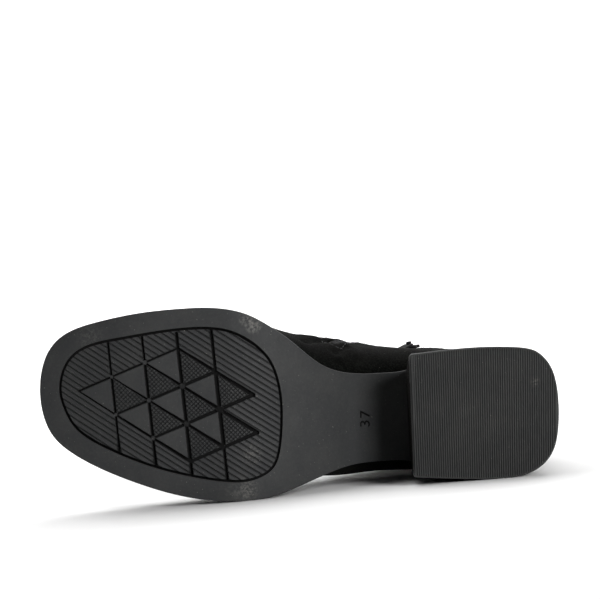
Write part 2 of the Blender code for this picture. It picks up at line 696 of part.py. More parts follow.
def zip_place(share, aside=0.0):
    """A place on the zip's line seen from the medial side, with aside metres across it."""
    seat = sole_top(SEAT_BACK)
    low = Vector((sole_x(ZIP_LOW_SHARES[0]), seat + ZIP_LOW_SHARES[1] * SHAFT_HEIGHT))
    top = Vector((sole_x(ZIP_TOP_SHARES[0]), seat + ZIP_TOP_SHARES[1] * SHAFT_HEIGHT))
    line = (top - low).normalized()
    across = Vector((line.y, -line.x))
    return low.lerp(top, share) + across * aside


def zip_length():
    return (zip_place(1.0) - zip_place(0.0)).length


def make_zip_slot():
    """Cutter for the zip's slot: through the medial wall only, with a round lower end, past the collar."""
    half = ZIP_SLOT_WIDTH / 2
    line = (zip_place(1.0) - zip_place(0.0)).normalized()
    edge = [zip_place(share, aside) for share, aside in
            ((0.0, half), (SLOT_TOP_SHARE, half), (SLOT_TOP_SHARE, -half), (0.0, -half))]
    for k in range(1, SLOT_END_STEPS):
        turn = math.pi * k / SLOT_END_STEPS
        edge.append(zip_place(0.0, -half * math.cos(turn)) - line * half * math.sin(turn))
    near, far = BALL_WIDTH * SLOT_FROM_MIDDLE_SHARE, BALL_WIDTH
    count = len(edge)
    vertices = [(p.x, near, p.y) for p in edge] + [(p.x, far, p.y) for p in edge]
    faces = [tuple(range(count)), tuple(range(2 * count - 1, count - 1, -1))]
    faces += [(i, (i + 1) % count, count + (i + 1) % count, count + i) for i in range(count)]
    slot = new_object("zip_slot_cutter", vertices, faces, None)
    slot.hide_render = True
    slot.display_type = "WIRE"
    return slot


def surface_tree(grid):
    rows, columns = grid.shape[:2]
    faces = []
    for i in range(1, rows - 1):
        for j in range(columns - 1):
            a = i * columns + j
            faces.append((a, a + 1, a + columns + 1, a + columns))
    return BVHTree.FromPolygons([tuple(v) for v in grid.reshape(-1, 3)], faces)


def medial_hit(tree, place):
    """Where a line from the medial side first meets a surface, and the surface's outward normal there."""
    point, normal, _, _ = tree.ray_cast(Vector((place.x, BALL_WIDTH, place.y)), Vector((0, -1, 0)))
    return point, normal if normal.y > 0 else -normal


def make_zip_tape(tree, cloth):
    """Woven tape behind the slot, just inside the wall."""
    gap = TAPE_BEHIND_WALL
    vertices = []
    for depth in (gap, gap + ZIP_TAPE_THICKNESS):
        for i in range(ZIP_STATIONS + 1):
            for j in range(TAPE_COLUMNS):
                aside = ZIP_TAPE_WIDTH * (j / (TAPE_COLUMNS - 1) - 0.5)
                low, top = zip_place(0.0, aside), zip_place(1.0, aside)
                level_end = 1 + (zip_place(1.0).y - top.y) / (top.y - low.y)
                share = TAPE_BELOW_ZIP_SHARE + (level_end - TAPE_BELOW_ZIP_SHARE) * i / ZIP_STATIONS
                point, _ = medial_hit(tree, zip_place(share, aside))
                vertices.append((point.x, point.y - depth, point.z))
    return slab("zip_tape", vertices, ZIP_STATIONS + 1, TAPE_COLUMNS, cloth)


def slab(name, vertices, rows, columns, material):
    """Closed body between two grids of points of the same size."""
    under = rows * columns
    faces = []
    for i in range(rows - 1):
        for j in range(columns - 1):
            a = i * columns + j
            faces.append((a, a + 1, a + columns + 1, a + columns))
            faces.append((under + a + columns, under + a + columns + 1, under + a + 1, under + a))
    edge = list(range(columns))
    edge += [i * columns + columns - 1 for i in range(1, rows)]
    edge += [(rows - 1) * columns + j for j in range(columns - 2, -1, -1)]
    edge += [i * columns for i in range(rows - 2, 0, -1)]
    for a, b in zip(edge, edge[1:] + edge[:1]):
        faces.append((a, b, under + b, under + a))
    return new_object(name, vertices, faces, material)


def make_zip_chain(tree, nylon):
    """The closed chain of teeth, in the slot and just below the outside of the wall."""
    vertices = []
    line = (zip_place(1.0) - zip_place(0.0)).normalized()
    for depth in (CHAIN_SUNK, CHAIN_SUNK + CHAIN_THICKNESS):
        for i in range(ZIP_STATIONS + 1):
            point, normal = medial_hit(tree, zip_place(i / ZIP_STATIONS))
            along = Vector((line.x, 0, line.y))
            across = along.cross(normal).normalized()
            for side in (-0.5, 0.5):
                vertices.append(point - normal * depth + across * side * CHAIN_WIDTH)
    return slab("zip_chain", vertices, ZIP_STATIONS + 1, 2, nylon)


def slider_frame(tree):
    """Matrix of the slider: X up the zip, Z out of the upper, with its origin on the upper's surface."""
    share = 1 - SLIDER_BELOW_TOP / zip_length()
    point, _ = medial_hit(tree, zip_place(share))
    reach = SLIDER_LENGTH / 2 / zip_length()
    low, _ = medial_hit(tree, zip_place(share - reach))
    high, _ = medial_hit(tree, zip_place(share + reach))
    front, _ = medial_hit(tree, zip_place(share, SLIDER_WIDTH / 2))
    back, _ = medial_hit(tree, zip_place(share, -SLIDER_WIDTH / 2))
    up = (high - low).normalized()
    out = (front - back).cross(up)
    out = (out if out.y > 0 else -out).normalized()
    side = out.cross(up).normalized()
    frame = Matrix((up, side, out)).transposed().to_4x4()
    frame.translation = point
    return frame


def plate_points(length_low, length_high, width, corner, steps=4):
    """Outline of a plate with round corners."""
    points = []
    for cx, cy, start in (
        (length_high - corner, width / 2 - corner, 0.0),
        (length_low + corner, width / 2 - corner, 90.0),
        (length_low + corner, -width / 2 + corner, 180.0),
        (length_high - corner, -width / 2 + corner, 270.0),
    ):
        for k in range(steps + 1):
            turn = math.radians(start + 90.0 * k / steps)
            points.append((cx + corner * math.cos(turn), cy + corner * math.sin(turn)))
    return points


def prism(name, points, low, high, material):
    count = len(points)
    vertices = [(x, y, low) for x, y in points] + [(x, y, high) for x, y in points]
    faces = [tuple(range(count - 1, -1, -1)), tuple(range(count, 2 * count))]
    faces += [(i, (i + 1) % count, count + (i + 1) % count, count + i) for i in range(count)]
    return new_object(name, vertices, faces, material)


PLATE_LOW = 1.5 * CLEARANCE
PLATE_HIGH = PLATE_LOW + SLIDER_THICKNESS
BAIL_ROOM = 2 * PIN_RADIUS + 2 * CLEARANCE
PIN_HEIGHT = PLATE_HIGH + CLEARANCE + PIN_RADIUS
PIN_X = PIN_FROM_LOW_END - SLIDER_LENGTH / 2


def make_slider(frame, metal):
    """Slider plate with a bail for the pull tab."""
    plate = plate_points(-SLIDER_LENGTH / 2, SLIDER_LENGTH / 2, SLIDER_WIDTH, SLIDER_CORNER)
    slider = prism("zip_slider", plate, PLATE_LOW, PLATE_HIGH, metal)
    work = bmesh.new()
    top = PLATE_HIGH + BAIL_ROOM
    half = BAIL_LENGTH / 2
    foot = PLATE_HIGH - SLIDER_THICKNESS / 3
    round_off = BAIL_THICKNESS * 0.4
    near_side = [
        (-half, foot), (-half, top + BAIL_THICKNESS - round_off), (-half + round_off, top + BAIL_THICKNESS),
        (half - round_off, top + BAIL_THICKNESS), (half, top + BAIL_THICKNESS - round_off), (half, foot),
        (half - BAIL_THICKNESS, foot), (half - BAIL_THICKNESS, top),
        (-half + BAIL_THICKNESS, top), (-half + BAIL_THICKNESS, foot),
    ]
    profile = [(PIN_X + x, z) for x, z in near_side]
    near = [work.verts.new((x, -BAIL_WIDTH / 2, z)) for x, z in profile]
    far = [work.verts.new((x, BAIL_WIDTH / 2, z)) for x, z in profile]
    work.faces.new(near)
    work.faces.new(far[::-1])
    count = len(profile)
    for i in range(count):
        j = (i + 1) % count
        work.faces.new((near[j], near[i], far[i], far[j]))
    bmesh.ops.recalc_face_normals(work, faces=work.faces)
    mesh = bpy.data.meshes.new("bail")
    work.to_mesh(mesh)
    work.free()
    bail = bpy.data.objects.new("bail", mesh)
    bpy.context.scene.collection.objects.link(bail)
    bail.hide_render = True
    bail.display_type = "WIRE"
    bail.matrix_world = frame
    join = slider.modifiers.new("bail", "BOOLEAN")
    join.operation = "UNION"
    join.solver = "EXACT"
    join.object = bail
    slider.matrix_world = frame
    return slider, bail


def make_pull(metal):
    """Pull tab: a pin under the bail, two arms beside it and a plate. Its origin is on the pin's axis."""
    half = PULL_THICKNESS / 2
    opening = BAIL_WIDTH + 2 * PULL_ARM_ROOM
    window_end = -(BAIL_LENGTH / 2 + PULL_WINDOW_PAST_BAIL)
    eye_start = -PULL_LENGTH + PULL_EYE_FROM_END
    shape = plate_points(-PULL_LENGTH, PIN_RADIUS, PULL_WIDTH, PULL_CORNER)
    pull = prism("zip_pull", shape, -half, half, metal)
    shape = plate_points(window_end, -PIN_RADIUS, opening, PULL_CORNER / 2)
    window = prism("pull_window", shape, -2 * half, 2 * half, None)
    shape = plate_points(eye_start, eye_start + PULL_EYE_LENGTH, PULL_EYE_WIDTH, PULL_CORNER * 2)
    notch = prism("pull_eye", shape, -2 * half, 2 * half, None)
    for cutter in (window, notch):
        cutter.hide_render = True
        cutter.display_type = "WIRE"
        cut = pull.modifiers.new(cutter.name, "BOOLEAN")
        cut.operation = "DIFFERENCE"
        cut.solver = "EXACT"
        cut.object = cutter
    return pull, (window, notch)


def make_insole(leather):
    """Sock on the outsole, inside the feather edge of the upper."""
    inset = FEATHER_SET_IN + UPPER_WALL + INSOLE_ROOM
    rings = []
    for up in (0.0, 1.0):
        ring = []
        for step in range(OUTSOLE_STATIONS + 1):
            share = (1 - math.cos(math.pi * step / OUTSOLE_STATIONS)) / 2
            x, medial, lateral = drawn_in(share, inset)
            z = sole_top(x) + CLEARANCE + up * INSOLE_THICKNESS
            ring.append(((x, medial, z), (x, lateral, z)))
        rings.append(ring)
    return new_object("insole", *lofted(rings), leather)


def clear_scene():
    for old in list(bpy.data.objects):
        bpy.data.objects.remove(old, do_unlink=True)


def resting_turn(points, balance):
    """The turn that lays the boot on the face of its hull under its balance point, on its lateral side."""
    work = bmesh.new()
    for point in points:
        work.verts.new(point)
    hull = bmesh.ops.convex_hull(work, input=work.verts)
    best, best_score = None, None
    for face in [f for f in hull["geom"] if isinstance(f, bmesh.types.BMFace)]:
        corners = [v.co.copy() for v in face.verts]
        normal = (corners[1] - corners[0]).cross(corners[2] - corners[0])
        if normal.length < 1e-12:
            continue
        normal.normalize()
        if normal.dot(corners[0] - balance) < 0:
            normal = -normal
        foot = balance + normal * normal.dot(corners[0] - balance)
        inside = all(
            (corners[(i + 1) % 3] - corners[i]).cross(foot - corners[i]).dot(
                (corners[(i + 1) % 3] - corners[i]).cross(corners[(i + 2) % 3] - corners[i])
            )
            > 0
            for i in range(3)
        )
        score = -normal.y
        if inside and (best is None or score > best_score):
            best, best_score = normal, score
    work.free()
    toe = Vector((1, 0, 0))
    down = best
    left = (toe - down * toe.dot(down)).normalized()
    forward = (-down).cross(left)
    return Matrix((-left, -forward, -down))


def mesh_points(made):
    graph = bpy.context.evaluated_depsgraph_get()
    evaluated = made.evaluated_get(graph)
    mesh = evaluated.to_mesh()
    mesh.calc_loop_triangles()
    points = [evaluated.matrix_world @ v.co for v in mesh.vertices]
    corners = [[points[i] for i in triangle.vertices] for triangle in mesh.loop_triangles]
    evaluated.to_mesh_clear()
    return points, corners


def volume_and_centre(corners):
    volume, moment = 0.0, Vector()
    for a, b, c in corners:
        part = a.dot(b.cross(c)) / 6
        volume += part
        moment += part * (a + b + c) / 4
    return volume, moment / volume


def main():
    clear_scene()
    rubber = finish("moulded_rubber", "#2e2e30", 0.62)
    block = finish("heel_covering", "#1c1b1d", 0.70)
    suede = finish("black_suede", "#151416", 0.95)
    leather = finish("insole_leather", "#3a3634", 0.70)
    cloth = finish("zip_cloth", "#111112", 0.85)
    nylon = finish("zip_nylon", "#26262a", 0.45)
    metal = finish("zip_metal", "#4a4a4e", 0.35, 1.0)
    outsole = make_outsole(rubber)
    heel = make_heel_block(block)
    top_piece = make_top_piece(rubber)
    upper, outer, inner = make_upper(suede)
    insole = make_insole(leather)
    outer_tree, inner_tree = surface_tree(outer), surface_tree(inner)
    tape = make_zip_tape(inner_tree, cloth)
    chain = make_zip_chain(outer_tree, nylon)
    frame = slider_frame(outer_tree)
    slider, bail = make_slider(frame, metal)
    pull, cutters = make_pull(metal)
    bpy.context.view_layer.update()

    weighed = (
        (outsole, SOLE_DENSITY), (heel, SOLE_DENSITY), (top_piece, RUBBER_DENSITY), (upper, UPPER_DENSITY),
    )
    points, mass, moment = [], 0.0, Vector()
    for made, density in weighed:
        corner_points, corners = mesh_points(made)
        volume, centre = volume_and_centre(corners)
        points += corner_points
        mass += volume * density
        moment += centre * volume * density
    turn = resting_turn(points, moment / mass)
    turned = [turn @ point for point in points]
    low = [min(p[axis] for p in turned) for axis in range(3)]
    high = [max(p[axis] for p in turned) for axis in range(3)]
    lie = turn.to_4x4()
    lie.translation = Vector((-(low[0] + high[0]) / 2, -(low[1] + high[1]) / 2, -low[2]))

    boot = bpy.data.objects.new("boot", None)
    bpy.context.scene.collection.objects.link(boot)
    boot.matrix_world = lie
    hinge = bpy.data.objects.new("pull_hinge", None)
    bpy.context.scene.collection.objects.link(hinge)
    hinge.parent = boot
    lean = Matrix.Rotation(math.radians(-PULL_REST_DEG), 4, "Y")
    hinge.matrix_local = frame @ Matrix.Translation((PIN_X, 0, PIN_HEIGHT)) @ lean
    grooves = list(bpy.data.collections["tread_grooves"].objects)
    slot = bpy.data.objects["zip_slot_cutter"]
    for made in [outsole, heel, top_piece, upper, insole, tape, chain, slider, bail, slot] + grooves:
        made.parent = boot
    for made in (pull, *cutters):
        made.parent = hinge


main()
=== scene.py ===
"""Looks of a right ankle boot with a block heel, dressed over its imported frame.

The pieces are worked out in the boot's own frame, as its maker would: X runs from the back of the heel to
the toe, Y points to the medial side and Z up from the walking plane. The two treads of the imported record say
how that frame lies on the floor, and each mesh is moved there when it is finished.
"""

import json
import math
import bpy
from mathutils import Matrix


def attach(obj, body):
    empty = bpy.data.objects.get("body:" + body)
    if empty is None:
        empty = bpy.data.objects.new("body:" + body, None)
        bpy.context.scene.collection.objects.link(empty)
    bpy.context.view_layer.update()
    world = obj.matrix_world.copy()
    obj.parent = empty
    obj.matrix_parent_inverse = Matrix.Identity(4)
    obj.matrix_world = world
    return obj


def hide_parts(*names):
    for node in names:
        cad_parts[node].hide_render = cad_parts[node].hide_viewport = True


bl_info = {
    "name": "Block heel ankle boot",
    "version": (1, 0, 0),
    "blender": (4, 5, 0),
    "location": "View3D > Sidebar > Boot",
    "description": "Dresses the frame of an ankle boot that lies on its side",
    "category": "Object",
}

from functools import cache

import bmesh
import bpy
import numpy as np
from mathutils import Matrix, Vector
from mathutils.bvhtree import BVHTree

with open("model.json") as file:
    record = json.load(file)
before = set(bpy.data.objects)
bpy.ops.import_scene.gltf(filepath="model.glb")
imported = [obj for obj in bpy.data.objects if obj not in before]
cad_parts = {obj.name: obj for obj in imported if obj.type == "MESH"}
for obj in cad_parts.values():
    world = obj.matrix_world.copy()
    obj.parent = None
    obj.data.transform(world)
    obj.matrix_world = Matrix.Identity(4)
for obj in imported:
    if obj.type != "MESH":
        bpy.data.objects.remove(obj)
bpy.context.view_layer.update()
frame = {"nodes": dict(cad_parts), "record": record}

# The boot's own sizes, in metres
OUTSOLE_LENGTH = 0.2492
BALL_WIDTH = 0.0934
SEAT_BACK = 0.002
TOE_SPRING = 0.0105
SEAT_HEIGHT = 0.046
FOREFOOT_THICKNESS = 0.008
WAIST_THICKNESS = 0.0042
SOLE_EDGE_RADIUS = 0.0003
TREAD_DEPTH = 0.0020
LOOP_GROOVE_WIDTH = 0.0013
HEEL_LENGTH = 0.071
HEEL_WIDTH = 0.0636
BREAST_SKEW = 0.0022
HEEL_CORNER_RADIUS = 0.0015
HEEL_SET_IN = 0.0008
TOP_PIECE_THICKNESS = 0.006
FEATHER_SET_IN = 0.0020
INSTEP_HEIGHT = 0.070
SHAFT_HEIGHT = 0.110
COLLAR_LENGTH = 0.096
COLLAR_WIDTH = 0.060
OUTER_THICKNESS = 0.0012
LINING_DEPTH = 0.0013
UPPER_WALL = 0.0020
CLEARANCE = 0.0003
ZIP_SLOT_WIDTH = 0.0058
ZIP_TAPE_WIDTH = 0.022
TAPE_BEHIND_WALL = 0.0008
ZIP_TAPE_THICKNESS = 0.0007

# Places where the two treads touch the walking plane, in the boot's frame
HEEL_TREAD = Vector((0.035, 0.0, 0.0))
FOREFOOT_TREAD = Vector((0.170, 0.0116, 0.0))

# Middle of the size number, seen from below, how far from it its figures reach, and how deep they are cut
SIZE_MARK_PLACE = (0.0924, -0.0045)
SIZE_MARK_REACH = 0.008
SIZE_MARK_DEPTH = 0.0006
FIGURE_GROWTH = 0.00007  # how much bolder than the font
FIGURE_SPACING = 1.1
TEXT_SIZE_TO_HEIGHT = 1.38  # size of the text for figures of height 1

# Shares of the outsole's length between which it grows from the waist's thickness to the forefoot's
THIN_UNTIL, THICK_FROM = 0.373, 0.594
# Radius of the outsole's upper edge, as a share of that of its lower one
TOP_EDGE_SHARE = 0.7

# How far the lining stands back from the slot's edge in the suede
LINING_SET_BACK = 0.0004


def table(names, rows):
    """Rows of numbers under their names, as a dictionary of columns."""
    return {name: [row[i] for row in rows] for i, name in enumerate(names.split())}


# Edge of the outsole seen from below: share of its length, and shares of the ball width
OUTSOLE_EDGE = table("along medial lateral", [
    (0.0000, 0.000, 0.000), (0.0132, 0.199, -0.199), (0.0341, 0.270, -0.270), (0.0642, 0.309, -0.310),
    (0.1164, 0.325, -0.327), (0.1766, 0.318, -0.325), (0.2247, 0.282, -0.313), (0.2749, 0.212, -0.277),
    (0.3250, 0.193, -0.274), (0.3933, 0.195, -0.291), (0.4535, 0.247, -0.345), (0.5136, 0.375, -0.410),
    (0.5510, 0.444, -0.441), (0.5895, 0.500, -0.455), (0.6461, 0.537, -0.457), (0.7247, 0.536, -0.429),
    (0.8022, 0.514, -0.370), (0.8804, 0.471, -0.290), (0.9394, 0.419, -0.206), (0.9795, 0.328, -0.103),
    (0.9952, 0.229, 0.004), (1.0000, 0.116, 0.116),
])

# Underside of the outsole: shares of the seat height and of the toe spring
OUTSOLE_PROFILE = table("along arch spring", [
    (0.000, 1.000, 0.00), (0.072, 0.992, 0.00), (0.152, 0.970, 0.00), (0.233, 0.930, 0.00),
    (0.275, 0.891, 0.00), (0.313, 0.826, 0.00), (0.353, 0.713, 0.00), (0.393, 0.574, 0.00),
    (0.433, 0.424, 0.00), (0.474, 0.287, 0.00), (0.514, 0.174, 0.00), (0.550, 0.087, 0.00),
    (0.590, 0.030, 0.00), (0.634, 0.000, 0.00), (0.754, 0.000, 0.00), (0.795, 0.000, 0.04),
    (0.835, 0.000, 0.12), (0.875, 0.000, 0.26), (0.915, 0.000, 0.44), (0.955, 0.000, 0.69),
    (1.000, 0.000, 1.00),
])

# Groove that loops round the tread, in the same shares as the edge
TREAD_LOOP = table("along medial lateral", [
    (0.5285, -0.011, -0.011), (0.5337, 0.134, -0.203), (0.5457, 0.238, -0.284), (0.5658, 0.315, -0.325),
    (0.5939, 0.375, -0.350), (0.6340, 0.422, -0.352), (0.6942, 0.435, -0.329), (0.7745, 0.412, -0.277),
    (0.8427, 0.380, -0.210), (0.8989, 0.346, -0.137), (0.9350, 0.289, -0.054), (0.9527, 0.214, 0.041),
    (0.9587, 0.117, 0.117),
])

# Lattice of triangular lugs: its front corner and its two steps, in the same shares
LATTICE_CORNER = (0.9222, 0.109)
STEP_BACK = (-0.0645, 0.0743)
STEP_ACROSS = (-0.0081, -0.1949)
# Straight grooves between places in steps back and across, with their width at each end in millimetres
LATTICE_GROOVES = table("back across to_back to_across width to_width", [
    (1.0, -0.90, 1.0, 2.02, 0.7, 0.7), (2.0, -0.70, 2.0, 2.70, 0.7, 0.9), (3.0, -0.40, 3.0, 3.32, 1.1, 1.0),
    (4.0, -0.08, 4.0, 3.84, 1.2, 1.0), (3.0, 0.00, 3.0, 3.00, 1.3, 1.3), (4.0, 1.00, 4.0, 3.00, 1.6, 1.6),
    (2.0, 0.00, 2.0, 2.00, 1.0, 1.1), (1.0, 0.00, 1.0, 1.00, 0.9, 0.9),
    (0.0, 0.00, 3.0, 0.00, 0.6, 0.7), (1.0, 1.00, 4.0, 1.00, 0.6, 1.3),
    (2.0, 2.00, 5.0, 2.00, 0.8, 1.4), (3.0, 3.00, 5.0, 3.00, 1.0, 1.3), (0.0, 0.00, 3.0, 3.00, 0.2, 1.4),
    (1.0, 0.00, 4.0, 3.00, 0.2, 1.5), (2.0, 0.00, 5.0, 3.00, 0.6, 1.7), (3.0, 0.00, 5.0, 2.00, 0.9, 1.8),
])
GROOVE_DRAFT = 0.00012  # what the slope of each side adds to half of a groove's width
GROOVE_EDGE = 0.00010  # half of the width over which a groove's side falls
# How far the studs of the chequers stand out past the lugs; their tops, up to this height, carry a painted
# highlight
STUD_RISE = 0.00006
# Shares of half a step that the bottom of a cut between studs takes, and the slope of a stud after it
STUD_CUT, STUD_SLOPE = 0.10, 0.25
SMOOTH_LUG_DEPTH = 0.00002  # how far the smooth lugs lie below the tread's face
RIB_CUT_OVERDRAW = 1.15  # the V between two ribs is drawn this many times its depth, for a flat bottom
# Cells whose rear half is chequered and whose front half is a smooth lug, in steps back and across
CHEQUERED = [(1, 0), (2, 0), (2, 1), (3, 0), (3, 1), (3, 2), (4, 1), (4, 2)]
SMOOTH = [(0, 0), (1, 0), (1, 1), (2, 0), (2, 1), (2, 2), (3, 1), (3, 2)]
# Plugs of rubber left by the mould where grooves meet. Each step back makes them wider and deeper.
PLUGS = [(1, 0), (1, 1), (2, 0), (2, 1), (2, 2), (3, 1), (3, 2), (4, 2)]
PLUG_RADIUS, PLUG_WIDER_BACK, PLUG_EDGE = 0.0006, 0.0003, 0.0002
PLUG_DEEPER_BACK, PLUG_DEEPER_ACROSS = 0.0003, 0.0001
# Depths in the tread's grooves where painted shade starts to darken the rubber, and over which it turns it
# black
PAINTED_SHADE_FROM, PAINTED_SHADE_OVER = 0.0002, 0.0008

# Walking face of the heel: share of its length from the back, and shares of its width
HEEL_EDGE = table("along medial lateral", [
    (0.000, 0.000, 0.000), (0.020, 0.239, -0.228), (0.049, 0.338, -0.310), (0.100, 0.420, -0.385),
    (0.159, 0.470, -0.434), (0.232, 0.491, -0.470), (0.344, 0.498, -0.494), (0.490, 0.497, -0.503),
    (0.704, 0.480, -0.502), (1.000, 0.440, -0.491),
])

# Sections of the upper from the toe to the instep: places as shares of the outsole's length, rise as a share
# of the instep height, over and the two bulges as shares of the ball width, and how square each section is
VAMP_SECTIONS = table("base ridge rise over medial lateral widest crown flare", [
    (1.000, 1.000, 0.000, 0.116, 0.000, 0.000, 0.34, 2.2, 1.6),
    (0.990, 0.990, 0.165, 0.116, 0.002, 0.002, 0.34, 2.2, 1.6),
    (0.961, 0.957, 0.275, 0.115, 0.006, 0.006, 0.32, 2.3, 1.6),
    (0.916, 0.908, 0.345, 0.109, 0.012, 0.012, 0.30, 2.3, 1.6),
    (0.856, 0.848, 0.415, 0.098, 0.015, 0.016, 0.29, 2.2, 1.6),
    (0.783, 0.776, 0.505, 0.086, 0.014, 0.018, 0.28, 2.1, 1.6),
    (0.703, 0.700, 0.625, 0.075, 0.008, 0.014, 0.26, 2.0, 1.6),
    (0.618, 0.628, 0.775, 0.059, 0.000, 0.006, 0.25, 2.0, 1.6),
    (0.535, 0.560, 0.925, 0.040, 0.040, 0.010, 0.30, 2.0, 1.6),
    (0.462, 0.512, 1.000, 0.025, 0.152, 0.035, 0.38, 2.0, 1.7),
])
# Sections that fan round the heel: forward and up are shares of the way from the instep to the collar's front
ANKLE_SECTIONS = table("base forward up over medial lateral widest crown flare", [
    (0.385, 0.290, 0.145, 0.012, 0.577, 0.570, 0.41, 2.0, 1.8),
    (0.305, 0.490, 0.265, 0.004, 0.535, 0.550, 0.41, 2.0, 1.9),
    (0.225, 0.630, 0.360, 0.000, 0.504, 0.535, 0.38, 2.0, 2.0),
    (0.145, 0.730, 0.440, 0.000, 0.489, 0.524, 0.38, 2.0, 2.0),
    (0.078, 0.800, 0.515, 0.000, 0.481, 0.518, 0.34, 2.0, 2.2),
    (0.025, 0.860, 0.590, 0.000, 0.479, 0.514, 0.26, 2.0, 2.8),
    (0.000, 0.905, 0.660, 0.000, 0.478, 0.512, 0.20, 2.0, 4.2),
])
# Closed sections up the shaft: back is a share of the collar length, height of the shaft height
SHAFT_SECTIONS = table("back height forward up medial lateral widest crown flare", [
    (-0.026, 0.095, 0.935, 0.725, 0.477, 0.511, 0.24, 2.0, 3.8),
    (-0.036, 0.215, 0.960, 0.785, 0.476, 0.512, 0.30, 2.0, 3.4),
    (-0.018, 0.345, 0.978, 0.838, 0.475, 0.514, 0.35, 2.0, 3.1),
    (0.016, 0.480, 0.990, 0.885, 0.472, 0.514, 0.40, 2.0, 2.8),
    (0.046, 0.635, 0.997, 0.927, 0.470, 0.512, 0.44, 2.0, 2.6),
    (0.060, 0.810, 1.000, 0.965, 0.470, 0.512, 0.48, 2.1, 2.3),
    (0.060, 1.000, 1.000, 1.000, 0.472, 0.514, 0.48, 2.1, 2.3),
])
COLLAR_FRONT_DROP = 0.02

# Zip seen from the medial side: shares of the outsole's length and of the shaft height
ZIP_LOW = (0.426, -0.035)
ZIP_TOP = (0.238, 0.965)
TAPE_BELOW_ZIP = -0.07  # share of the zip's length where the tape starts below it

# Soft troughs and ridges of the suede, in millimetres in the boot's frame: a run of points, how deep the fold
# is (a ridge is negative) and how wide
FOLDS = [
    dict(run=[(127, 31, 27), (121, 33, 33), (116, 35, 38), (111, 37, 43), (107, 38, 49)],
         depth=1.5, width=1.7),
    dict(run=[(128, 33, 34), (121, 36, 41), (115, 38, 48)], depth=-0.9, width=2.2),
    dict(run=[(110, 33, 36), (106, 31, 33), (102, 34, 39), (98, 35, 45)], depth=1.3, width=1.7),
    dict(run=[(104, 29, 28), (101, 26, 22), (99, 24, 18)], depth=0.8, width=3.2),
    dict(run=[(84, 33, 38), (80, 31, 30), (79, 28, 24)], depth=0.6, width=2.6),
    dict(run=[(99, 36, 44), (93, 35, 38), (88, 33, 34)], depth=-0.6, width=4.5),
    dict(run=[(118, 36, 58), (124, 35, 56), (131, 33, 54)], depth=0.6, width=2.4),
    dict(run=[(101, 37, 60), (95, 36, 58), (88, 34, 58)], depth=0.6, width=2.4),
    dict(run=[(104, 33, 90), (112, 29, 91), (121, 20, 94), (127, 4, 97), (122, -14, 94), (113, -25, 90)],
         depth=1.0, width=4.2),
    dict(run=[(102, 32, 99), (110, 28, 101), (118, 17, 104), (121, 2, 106), (117, -14, 104), (108, -26, 100)],
         depth=-0.6, width=4.5),
    dict(run=[(100, 31, 107), (108, 27, 110), (114, 15, 113), (116, 2, 114), (112, -13, 112),
              (104, -25, 108)],
         depth=0.8, width=4.0),
    dict(run=[(150, 32, 62), (148, 20, 68), (148, 6, 71), (149, -10, 67), (151, -24, 58)],
         depth=0.5, width=5.0),
    dict(run=[(168, 36, 46), (166, 24, 53), (166, 10, 56), (167, -6, 53), (169, -22, 45)],
         depth=0.4, width=5.0),
]
# Seams of the upper, in the same way: the closing seam up the back, and the side seams of the quarters
SEAMS = [
    dict(run=[(86, 27, 55), (86, 31, 62), (86, 33, 72)], depth=0.45, width=0.9),
    dict(run=[(86, -30, 55), (86, -33, 64), (90, -33, 78), (100, -30, 92), (112, -22, 101)],
         depth=0.45, width=0.9),
]


def spline(places, heights):
    """Natural cubic spline through the points, as a function of the place."""
    places, heights = np.asarray(places, float), np.asarray(heights, float)
    count = len(places)
    gaps = np.diff(places)
    slopes = np.diff(heights) / gaps
    system, right = np.eye(count), np.zeros(count)
    for row in range(1, count - 1):
        system[row, row - 1 : row + 2] = gaps[row - 1], 2 * (gaps[row - 1] + gaps[row]), gaps[row]
        right[row] = 6 * (slopes[row] - slopes[row - 1])
    bends = np.linalg.solve(system, right)

    def at(place):
        row = np.clip(np.searchsorted(places, place) - 1, 0, count - 2)
        gap = gaps[row]
        before, after = (places[row + 1] - place) / gap, (place - places[row]) / gap
        curve = (before**3 - before) * bends[row] + (after**3 - after) * bends[row + 1]
        return before * heights[row] + after * heights[row + 1] + curve * gap * gap / 6

    return at


def steady(places, heights):
    """Cubic curve through the points that never overshoots and stays flat between equal heights."""
    places, heights = np.asarray(places, float), np.asarray(heights, float)
    gaps = np.diff(places)
    slopes = np.diff(heights) / gaps
    tangents = np.zeros(len(places))
    for row in range(1, len(places) - 1):
        if slopes[row - 1] * slopes[row] > 0:
            tangents[row] = 2 * slopes[row - 1] * slopes[row] / (slopes[row - 1] + slopes[row])
    tangents[0], tangents[-1] = slopes[0], slopes[-1]

    def at(place):
        row = np.clip(np.searchsorted(places, place) - 1, 0, len(places) - 2)
        gap = gaps[row]
        t = (place - places[row]) / gap
        rise = heights[row + 1] - heights[row]
        bend = tangents[row] * (t - 2 * t * t + t**3) + tangents[row + 1] * (t**3 - t * t)
        return heights[row] + rise * (3 * t * t - 2 * t**3) + gap * bend

    return at


def ramp(low, high, value):
    """0 below low, 1 above high, and a smooth step between them."""
    t = np.clip((np.asarray(value, float) - low) / (high - low), 0.0, 1.0)
    return t * t * (3 - 2 * t)


def spaced(weights):
    """Shares from 0 to 1 whose steps have those weights."""
    run = np.concatenate([[0.0], np.cumsum(weights)])
    return run / run[-1]


def way_along(points):
    """Length of the way along a row of points, up to each of them."""
    steps = np.linalg.norm(np.diff(points, axis=0), axis=1)
    return np.concatenate([[0.0], np.cumsum(steps)])


def around(share):
    """The half turn that a share of an outline's length stands for, so that both its ends come out round."""
    return np.arccos(1 - 2 * np.clip(share, 0.0, 1.0))


def sole_x(share):
    """Place along the boot of a share of the outsole's length."""
    return SEAT_BACK + share * OUTSOLE_LENGTH


